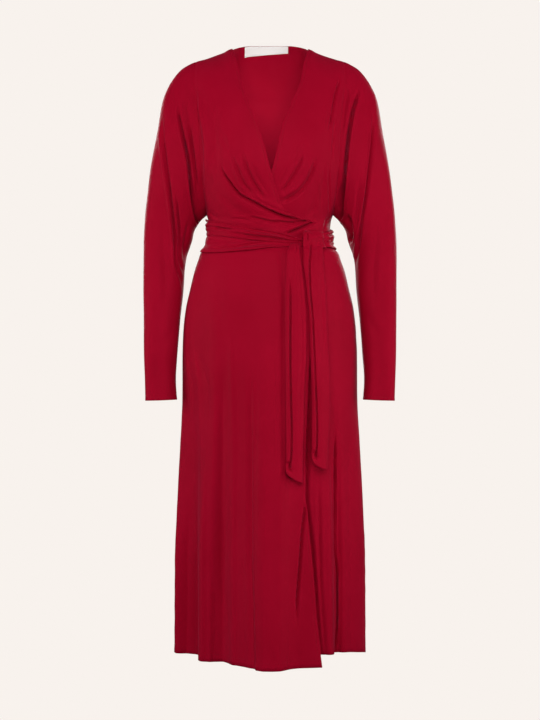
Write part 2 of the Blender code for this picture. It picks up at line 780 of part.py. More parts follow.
def sash_band(name, which, angles, cols):
    """One turn of the sash: a band scrunched into soft tubes, with its edges tucked in."""
    angle = np.linspace(angles[0], angles[1], cols + 1)
    high = sash("top", angle) if which == "upper" else sash("split", angle) - 0.4
    low = sash("split", angle) + 0.4 if which == "upper" else sash("bottom", angle)
    puff = sash(which + "_puff", angle)
    tubes = 2.0 if which == "upper" else 1.0
    t = np.linspace(0, 1, 6 if which == "upper" else 5)
    rows = []
    for s in t:
        z = high + (low - high) * s
        swell = np.abs(np.sin(math.pi * (0.06 + 0.88 * s) * tubes)) ** 0.8
        out = sash_lift(angle) + SASH_CLEAR + WALL + 0.4 + puff * (0.25 + 0.75 * swell)
        rows.append(waist_ring(angle, z, out))
    p = np.array(rows)
    n = facing(normals(p), p, p * np.array((0.0, 0.0, 1.0)))
    n[..., 2] *= 0.4
    n /= np.linalg.norm(n, axis=-1, keepdims=True)
    return cloth(name, p, n, CRIMSON)


def build_knot(name):
    """The knot: a tight bundle of the sash, bulging forward, pinched at top and bottom."""
    bm = bmesh.new()
    rows, cols = 7, 9
    grid = []
    for i in range(rows + 1):
        line = []
        s = i / rows
        for j in range(cols + 1):
            t = j / cols
            a = KNOT_ANGLES[0] + (KNOT_ANGLES[1] - KNOT_ANGLES[0]) * t
            pinch = 1 - 0.16 * math.sin(math.pi * t) * (1 if s < 0.5 else -1)
            z = KNOT_Z[1] + (KNOT_Z[0] - KNOT_Z[1]) * s
            z += 3.0 * (t - 0.5) * (1 - 2 * s)
            swell = math.sin(math.pi * (0.1 + 0.8 * s)) ** 0.7 * math.sin(math.pi * (0.08 + 0.84 * t)) ** 0.6
            groove = 1.6 * math.exp(-(((t - 0.36 - 0.1 * s) / 0.07) ** 2)) + 1.2 * math.exp(
                -(((t - 0.68 + 0.08 * s) / 0.06) ** 2)
            )
            out = LAYER + SASH_CLEAR + 3.0 + KNOT_DEPTH * swell * pinch - groove
            line.append((a, z, out))
        grid.append(line)
    faces = []
    for depth in (1, 0):
        layer = []
        for line in grid:
            row = []
            for a, z, out in line:
                o = out if depth else LAYER + SASH_CLEAR + 0.6
                base = waist_ring(np.array(a), np.array(z), np.array(0.0))
                top = waist_ring(np.array(a), np.array(z), np.array(o))
                row.append(bm.verts.new(tuple(top * MM)))
            layer.append(row)
        faces.append(layer)
    outer, inner = faces
    for k, g in enumerate(faces):
        for i in range(rows):
            for j in range(cols):
                quad = [g[i][j], g[i][j + 1], g[i + 1][j + 1], g[i + 1][j]]
                bm.faces.new(quad if k == 0 else quad[::-1])
    for j in range(cols):
        bm.faces.new([outer[0][j + 1], outer[0][j], inner[0][j], inner[0][j + 1]])
        bm.faces.new([outer[-1][j], outer[-1][j + 1], inner[-1][j + 1], inner[-1][j]])
    for i in range(rows):
        bm.faces.new([outer[i][0], outer[i + 1][0], inner[i + 1][0], inner[i][0]])
        bm.faces.new([outer[i + 1][-1], outer[i][-1], inner[i][-1], inner[i + 1][-1]])
    bmesh.ops.triangulate(bm, faces=bm.faces[:])
    if bm.calc_volume(signed=True) < 0:
        bmesh.ops.reverse_faces(bm, faces=bm.faces[:])
    return finish(name, bm, CRIMSON)


def skirt_front_y(x, z):
    """How far forward the hip's form reaches at a place seen from the front."""
    wide, deep = skirt("half_width", z), skirt("front", z)
    share = np.clip(x / wide, -0.98, 0.98)
    return -(deep + LAYER) * np.sqrt(1 - share**2)


def build_tail(name, rows_table, fold, slant, rows=11, cols=4):
    """A hanging end of the sash: a folded strip, cut on the slant at its foot."""
    tail = Track(rows_table, TAIL_COLUMNS, "z")
    top, foot = rows_table[0][0], rows_table[-1][0]
    p = np.zeros((rows + 1, cols + 1, 3))
    for i in range(rows + 1):
        s = i / rows
        for j in range(cols + 1):
            t = j / cols
            z = top + (foot - top) * s
            left, right = float(tail("left", z)), float(tail("right", z))
            x = left + (right - left) * t
            drop = slant * (t - 0.5) * (right - left) * s**6
            wave = fold * math.sin(math.pi * t * 1.5 + 0.4)
            y = float(skirt_front_y(np.array(x), np.array(z))) - float(tail("clear", z)) - wave
            p[i, j] = (x, y, z + drop)
    n = normals(p)
    if n[..., 1].sum() > 0:
        n = -n
    return cloth(name, p, n, CRIMSON)


def build_label(name):
    """A flat label on the back's own net, just inside its cloth."""
    p = back_grid(BODICE_ROWS)
    n = facing(normals(p), p, np.array((0, 0, -200.0)))
    first, last = (BACK_SEAMS_X.index(x) for x in LABEL_SIDES_X)
    q = []
    for row in (LABEL_TOP_ROW, 1.0, LABEL_FOOT_ROW):
        i = min(int(row), 1)
        t = row - i
        at = p[i] * (1 - t) + p[i + 1] * t
        way = n[i] * (1 - t) + n[i + 1] * t
        q.append((at - way * (WALL + 0.5))[first : last + 1])
    q = np.array(q)
    return cloth(name, q, facing(normals(q), q, np.array((0, 0, -200.0))), WHITE, wall=0.8)


# ---------------------------------------------------------------- the dress
def main():
    for obj in list(bpy.data.objects):
        bpy.data.objects.remove(obj, do_unlink=True)
    build_front("bodice_front_right", TOP_EDGE, -1.0, True, "front_top")
    build_front("bodice_front_left", UNDER_EDGE, 1.0, False, "front_under")
    build_back("bodice_back")
    build_sleeve("sleeve_right", -1.0)
    build_sleeve("sleeve_left", 1.0)
    build_skirt("skirt_front_right", "top", 17, [(0, -1.0)])
    build_skirt("skirt_front_left", "under", 13, [(13, 1.0)])
    build_skirt("skirt_back", "back", 16, [(0, 1.0), (16, -1.0)])
    sash_band("sash_wrap_upper", "upper", SASH_ANGLES, 30)
    sash_band("sash_wrap_lower", "lower", SASH_ANGLES, 30)
    build_knot("sash_knot")
    build_tail("sash_tail_inner", TAIL_INNER, 3.0, TAIL_END_SLOPE * -1.0)
    build_tail("sash_tail_outer", TAIL_OUTER, 3.0, TAIL_END_SLOPE * -1.0)
    build_label("neck_label")


main()
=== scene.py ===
"""Looks of the wrap dress: each piece of cloth as a fine thin shell on its solid's own form, with
its listed creases, its stitches, its knit, a plain pale floor and soft light.

Sizes in the tables are in millimetres; meshes are made in metres. The dress faces -Y and +X is the
wearer's left. The nets, tables and formulas of the form are the same as in the CAD.
"""

import math

import bpy
import numpy as np
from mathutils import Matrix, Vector


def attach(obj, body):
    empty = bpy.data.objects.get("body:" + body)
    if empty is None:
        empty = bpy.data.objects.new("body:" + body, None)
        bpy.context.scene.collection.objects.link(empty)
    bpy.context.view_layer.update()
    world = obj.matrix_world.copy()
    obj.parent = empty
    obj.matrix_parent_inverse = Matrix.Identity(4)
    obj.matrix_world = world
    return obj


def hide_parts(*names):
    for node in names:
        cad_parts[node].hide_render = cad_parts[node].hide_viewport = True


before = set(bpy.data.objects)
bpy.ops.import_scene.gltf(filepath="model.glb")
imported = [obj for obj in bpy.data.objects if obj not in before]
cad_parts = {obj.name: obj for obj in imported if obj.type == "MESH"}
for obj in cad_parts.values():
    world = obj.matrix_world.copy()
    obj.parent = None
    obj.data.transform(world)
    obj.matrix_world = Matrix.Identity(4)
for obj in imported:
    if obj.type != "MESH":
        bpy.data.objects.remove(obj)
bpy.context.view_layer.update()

# ---------------------------------------------------------------- sizes
MM = 0.001
WALL = 1.5  # thickness of one layer of cloth, with its hems
SEAM_GAP = 0.3  # between two pieces at a seam
LAYER = 4.0  # the upper front's outer face, in front of the lower front's
WAIST_Z = -391.0
HEM_Z = -1204.0
UNDERARM_Z = -331.0
SHOULDER_TIP_Z = -23.5
SHOULDER_TIP_X = 150.0
NECK_POINT_X = 77.0
NECK_POINT_Z = 5.0
SEAM_Y_NECK = 14.0
SEAM_Y_TIP = 6.0
SHOULDER_ROUND = 60.0
ARM_STATIONS = 12  # rows down the armhole, on bodice and sleeve alike
SIDE_SEAM_Z = (-331.0, -345.0, -365.0, -391.0)  # rows below it
EDGE_FOOT_Z = (-370.0, -391.0)
BODICE_ROWS = ARM_STATIONS + len(SIDE_SEAM_Z) - 1
SASH_CLEAR = 0.5
LABEL_SIDES_X = (-52.0, 37.0)
LABEL_TOP_ROW = 0.12  # in rows of the back's net, down from the neck edge
LABEL_FOOT_ROW = 1.8
BACK_SEAMS_X = (-150, -125, -101, -77, -64.5, -52, -30, -8, 15, 37, 57, 77, 101, 125, 150)


# ---------------------------------------------------------------- tables
# the bodice: half width of its full section, depth to the front and to the back
TORSO_COLUMNS = ("z", "half_width", "front", "back")
TORSO = (
    (60, 172, 20, 50),
    (25, 172, 26, 58),
    (0, 172, 36, 68),
    (-50, 171, 60, 86),
    (-100, 168, 87, 95),
    (-150, 166, 104, 96),
    (-200, 163, 112, 90),
    (-240, 158, 111, 84),
    (-280, 147, 103, 79),
    (-310, 136, 94, 76),
    (-331, 126, 87, 74),
    (-345, 122, 82, 72),
    (-365, 120.5, 79, 72),
    (-391, 121.5, 81.5, 74.5),
)
# the armhole seen from the front
ARMHOLE_COLUMNS = ("z", "x")
ARMHOLE = (
    (-23, 150),
    (-60, 149.5),
    (-114, 144),
    (-166, 138.5),
    (-240, 134.5),
    (-290, 131),
    (-331, 126),
)
# top of the shoulder and of the back neck
SHOULDER_COLUMNS = ("x", "front_top", "back_top", "back_round_top")
SHOULDER = (
    (0, 5, 21, 66),
    (40, 5, 20, 52),
    (60, 5, 15.5, 32),
    (77, 5, 5, 5),
    (93, -4.5, -4.5, -4.5),
    (110, -11.5, -11.5, -11.5),
    (134, -19.5, -19.5, -19.5),
    (150, -23.5, -23.5, -23.5),
)
# the free edge of each front, from the neck point; "across" counts towards the other side
EDGE_COLUMNS = ("across", "z")
TOP_EDGE = (
    (-77, 5),
    (-67, -32),
    (-57, -75),
    (-44.5, -118),
    (-26, -162),
    (-13.5, -203),
    (-1, -249),
    (9, -283),
    (19, -312),
    (27, -328),
    (40, -337),
    (62, -343.5),
    (86, -348),
    (106, -352),
)
UNDER_EDGE = (
    (-77, 5),
    (-68, -32),
    (-58.5, -80),
    (-45, -114),
    (-32.5, -146),
    (-22.5, -172),
    (-15, -210),
    (-5, -250),
    (6, -285),
    (20, -315),
    (40, -335),
    (68, -346),
    (98, -352),
)
# sleeve rings: outer and inner point from the front, half depth, and how far the middle is back
SLEEVE_COLUMNS = ("ring", "outer_x", "outer_z", "inner_x", "inner_z", "half_depth", "middle_y")
SLEEVE = (
    (0, 150, -23, 126, -331, 60, 0),
    (1, 176, -38, 134, -338, 60, 0),
    (2, 203, -74, 141, -346, 61, 1),
    (3, 216, -110, 148, -355, 60, 2),
    (4, 224, -160, 153, -366, 58, 3),
    (5, 234, -220, 156, -380, 54, 4),
    (6, 242, -280, 161, -394, 50, 5),
    (7, 249, -340, 167, -412, 47, 5),
    (8, 252, -400, 170.5, -438, 44, 4),
    (9, 252, -470, 173, -482, 41, 0),
    (10, 251, -540, 179, -540, 37, -5),
    (11, 250, -610, 184, -606, 33, -11),
    (12, 248, -660, 187, -656, 30, -16),
    (13, 246.5, -700, 184.5, -698, 28, -20),
)
# the skirt: half width, depth to the front and to the back
SKIRT_COLUMNS = ("z", "half_width", "front", "back")
SKIRT = (
    (-391, 121.5, 81.5, 74.5),
    (-396, 125, 84, 77),
    (-401, 131, 89, 82),
    (-407, 136.5, 95, 88),
    (-420, 141, 100, 93),
    (-440, 148, 105, 98),
    (-480, 158, 111, 106),
    (-520, 167, 116, 114),
    (-560, 171.5, 120, 120),
    (-620, 174, 124, 124),
    (-700, 175, 127, 124),
    (-780, 179, 130, 126),
    (-860, 184, 134, 130),
    (-940, 188, 139, 135),
    (-1010, 191, 145, 139),
    (-1204, 192, 165, 150),
)
SKIRT_ROWS_Z = (-391, -397, -403, -412, -432, -470, -530, -610, -700, -800, -900, -1000, -1105, -1204)
# plan of the hem, by the angle that the same cloth has at the hip: each step is the side of a fold
HEM_COLUMNS = ("angle", "x", "y")
HEM_TOP = (
    (-90, -192, 0),
    (-80, -187, -9),
    (-70, -172, -13),
    (-60, -153, -16),
    (-54, -140, -22),
    (-50, -134.5, -36),
    (-46, -134.5, -54),
    (-42.5, -134, -70),
    (-39, -128, -81),
    (-35, -116, -87),
    (-31, -104, -86),
    (-27, -93, -85),
    (-23, -81, -97),
    (-20, -71, -111),
    (-17, -61, -121),
    (-12, -46, -133),
    (-8, -34, -146),
    (-5, -26, -160),
    (0, -10, -169),
    (6, 16, -168),
    (10, 28, -160),
    (13, 37, -151),
    (20, 60, -141),
    (30, 98, -136),
    (38, 118, -126),
)
HEM_UNDER = (
    (-28, -50, -118),
    (-14, -12, -126),
    (0, 28, -120),
    (10, 58, -106),
    (22, 90, -102),
    (30, 108, -98),
    (36, 121, -88),
    (41, 126, -66),
    (46, 131, -58),
    (52, 142, -62),
    (60, 156, -54),
    (70, 173, -36),
    (80, 187, -17),
    (90, 192, 0),
)
# the lower front is cut a little shorter than the upper one, and meets the back's hem at the side
RISE_COLUMNS = ("angle", "rise")
UNDER_RISE = (
    (-28, 16),
    (30, 16),
    (36, 14.5),
    (41, 12.5),
    (52, 13),
    (60, 11.5),
    (70, 7.8),
    (80, 3.7),
    (90, 0),
)
HEM_BACK = (
    (90, 192, 0),
    (105, 183, 48),
    (118, 160, 82),
    (130, 137, 92),
    (140, 116, 122),
    (152, 84, 140),
    (163, 52, 134),
    (172, 26, 151),
    (184, -14, 154),
    (196, -52, 137),
    (208, -84, 140),
    (219, -114, 124),
    (230, -138, 95),
    (242, -162, 84),
    (255, -183, 50),
    (270, -192, 0),
)
# the upper skirt front's free edge
OPENING_COLUMNS = ("z", "x")
OPENING = (
    (-391, 101),
    (-420, 99),
    (-500, 90),
    (-560, 82),
    (-600, 77.5),
    (-640, 74.5),
    (-680, 72.5),
    (-725, 71),
    (-761, 69),
    (-825, 67),
    (-880, 67),
    (-910, 71),
    (-944, 74),
    (-1001, 79.7),
    (-1040, 83),
    (-1120, 89),
    (-1204, 99),
)
UNDER_SKIRT_HIDDEN_ANGLE = -25.0
# sash, by angle round the waist from the front: top, line between its two turns, bottom
SASH_COLUMNS = ("angle", "top", "split", "bottom", "upper_puff", "lower_puff")
SASH = (
    (33, -387.5, -393.4, -396.8, 3.0, 1.2),
    (20, -379.5, -393.6, -399, 4.4, 1.6),
    (0, -370, -391.5, -402.5, 4.8, 2.6),
    (-20, -362, -387, -408.5, 4.6, 4.6),
    (-40, -355, -380, -410, 4.4, 5.0),
    (-65, -346, -375, -408, 4.2, 4.8),
    (-90, -338.5, -374, -402, 3.6, 4.4),
    (-135, -339, -374, -402, 4.0, 4.4),
    (-180, -341, -377, -406, 4.0, 4.2),
    (-225, -345, -380, -404, 3.8, 4.0),
    (-262, -359, -383, -399, 3.4, 3.2),
    (-285, -364, -386, -398, 3.2, 3.0),
    (-300, -369, -388, -397.5, 2.8, 2.6),
    (-307, -371, -389, -397, 2.4, 2.2),
)
SASH_ANGLES = (29.6, -306.0)  # from the knot, round by the wearer's right and the back, to the knot
KNOT_ANGLES = (30.0, 53.6)
KNOT_Z = (-399.5, -368.0)
KNOT_DEPTH = 17.0
TAIL_COLUMNS = ("z", "left", "right", "clear")


# ---------------------------------------------------------------- curves through tables
class Track:
    """A smooth line through a table's rows, with no overshoot between them."""

    def __init__(self, rows, names, key):
        k = names.index(key)
        data = np.array(sorted(rows, key=lambda r: r[k]), float)
        self.x = data[:, k]
        self.columns = {}
        for i, name in enumerate(names):
            if i != k:
                self.columns[name] = (data[:, i], self.slopes(data[:, i]))

    def slopes(self, y):
        h = np.diff(self.x)
        d = np.diff(y) / h
        m = np.zeros_like(y)
        m[0], m[-1] = d[0], d[-1]
        for i in range(1, len(y) - 1):
            if d[i - 1] * d[i] > 0:
                w1, w2 = 2 * h[i] + h[i - 1], h[i] + 2 * h[i - 1]
                m[i] = (w1 + w2) / (w1 / d[i - 1] + w2 / d[i])
        return m

    def __call__(self, name, at):
        y, m = self.columns[name]
        t = np.clip(np.asarray(at, float), self.x[0], self.x[-1])
        i = np.clip(np.searchsorted(self.x, t, side="right") - 1, 0, len(self.x) - 2)
        h = self.x[i + 1] - self.x[i]
        s = (t - self.x[i]) / h
        a, b = y[i], y[i + 1]
        return (
            a * (1 + 2 * s) * (1 - s) ** 2
            + b * s * s * (3 - 2 * s)
            + h * m[i] * s * (1 - s) ** 2
            + h * m[i + 1] * s * s * (s - 1)
        )


def by_length(rows):
    """A Track of a line's two columns against the share of its length, from 0 to 1."""
    p = np.array(rows, float)
    run = np.concatenate(([0.0], np.cumsum(np.hypot(*np.diff(p, axis=0).T))))
    return Track(
        [(r / run[-1], a, b) for r, (a, b) in zip(run, p)], ("share", "across", "z"), "share"
    )


torso = Track(TORSO, TORSO_COLUMNS, "z")
armhole = Track(ARMHOLE, ARMHOLE_COLUMNS, "z")
shoulder = Track(SHOULDER, SHOULDER_COLUMNS, "x")
sleeve = Track(SLEEVE, SLEEVE_COLUMNS, "ring")
skirt = Track(SKIRT, SKIRT_COLUMNS, "z")
opening = Track(OPENING, OPENING_COLUMNS, "z")
under_rise = Track(UNDER_RISE, RISE_COLUMNS, "angle")
sash = Track(SASH, SASH_COLUMNS, "angle")
hem = {
    "top": Track(HEM_TOP, HEM_COLUMNS, "angle"),
    "under": Track(HEM_UNDER, HEM_COLUMNS, "angle"),
    "back": Track(HEM_BACK, HEM_COLUMNS, "angle"),
}


def smooth(t):
    t = np.clip(t, 0, 1)
    return t * t * (3 - 2 * t)


# ---------------------------------------------------------------- the body's form
def edge_angle(z):
    """Angle at which the bodice ends at the armhole or the side seam."""
    z = np.minimum(z, SHOULDER_TIP_Z)
    share = np.where(z < UNDERARM_Z, 1.0, armhole("x", z) / torso("half_width", z))
    return np.arcsin(np.clip(share, -1, 1))


def bodice_point(angle, z, back=False, out=0.0):
    """A point on the bodice by its angle from the middle of its front or back, and its height."""
    wide = torso("half_width", z) + out * np.abs(np.sin(angle))
    deep = torso("back" if back else "front", z) + out
    x = wide * np.sin(angle)
    side = np.minimum(np.abs(x), SHOULDER_TIP_X)
    top = shoulder("back_round_top" if back else "front_top", side)
    drop = np.clip((top - z) / SHOULDER_ROUND, 0, 1)
    rise = (1 - (1 - drop) ** 2.2) ** (1 / 2.2)
    seam = SEAM_Y_NECK + (SEAM_Y_TIP - SEAM_Y_NECK) * side / SHOULDER_TIP_X
    way = 1.0 if back else -1.0
    y = seam + (way * deep * np.cos(angle) - seam) * rise
    return np.stack(np.broadcast_arrays(x, y, z), -1)


def armhole_z(turn):
    """Height on the armhole by its turn, 0 at the shoulder and pi at the underarm."""
    return SHOULDER_TIP_Z + (UNDERARM_Z - SHOULDER_TIP_Z) * (1 - np.cos(turn)) / 2


def armhole_out(turn, side, way):
    """The outward direction that bodice and sleeve share along the armhole."""
    c, s = np.cos(turn), np.abs(np.sin(turn))
    nx = 0.45 * s + 0.7 * np.maximum(0, -c) ** 2 + 0.3 * np.maximum(0, c) ** 2
    n = np.stack([side * nx, way * s, c], -1)
    return n / np.linalg.norm(n, axis=-1, keepdims=True)


def side_line(v):
    """Height down the armhole and the side seam, v from 0 at the shoulder to 1 at the waist."""
    row = np.asarray(v, float) * BODICE_ROWS
    turn = np.clip(row / ARM_STATIONS, 0, 1) * math.pi
    below = np.interp(row - ARM_STATIONS, range(len(SIDE_SEAM_Z)), SIDE_SEAM_Z)
    return np.where(row > ARM_STATIONS, below, armhole_z(turn))


def normals(p, wrap=False):
    """Unit normals of a grid of points, rows first."""
    if wrap:
        du = np.roll(p, -1, 1) - np.roll(p, 1, 1)
    else:
        du = np.gradient(p, axis=1)
    dv = np.gradient(p, axis=0)
    n = np.cross(du, dv)
    return n / np.maximum(np.linalg.norm(n, axis=-1, keepdims=True), 1e-9)


def facing(n, p, centre):
    """The same normals, turned to point away from a centre line."""
    away = p - centre
    return n if (n * away).sum() > 0 else -n


def draw_in(p, edges, by=SEAM_GAP / 2):
    """The grid with the named edges drawn in along the cloth by half a seam's gap."""
    p = p.copy()
    pairs = {
        "top": (np.s_[0], np.s_[1]),
        "bottom": (np.s_[-1], np.s_[-2]),
        "left": (np.s_[:, 0], np.s_[:, 1]),
        "right": (np.s_[:, -1], np.s_[:, -2]),
    }
    for e in edges:
        a, b = pairs[e]
        step = p[b] - p[a]
        p[a] = p[a] + by * step / np.linalg.norm(step, axis=-1, keepdims=True)
    return p


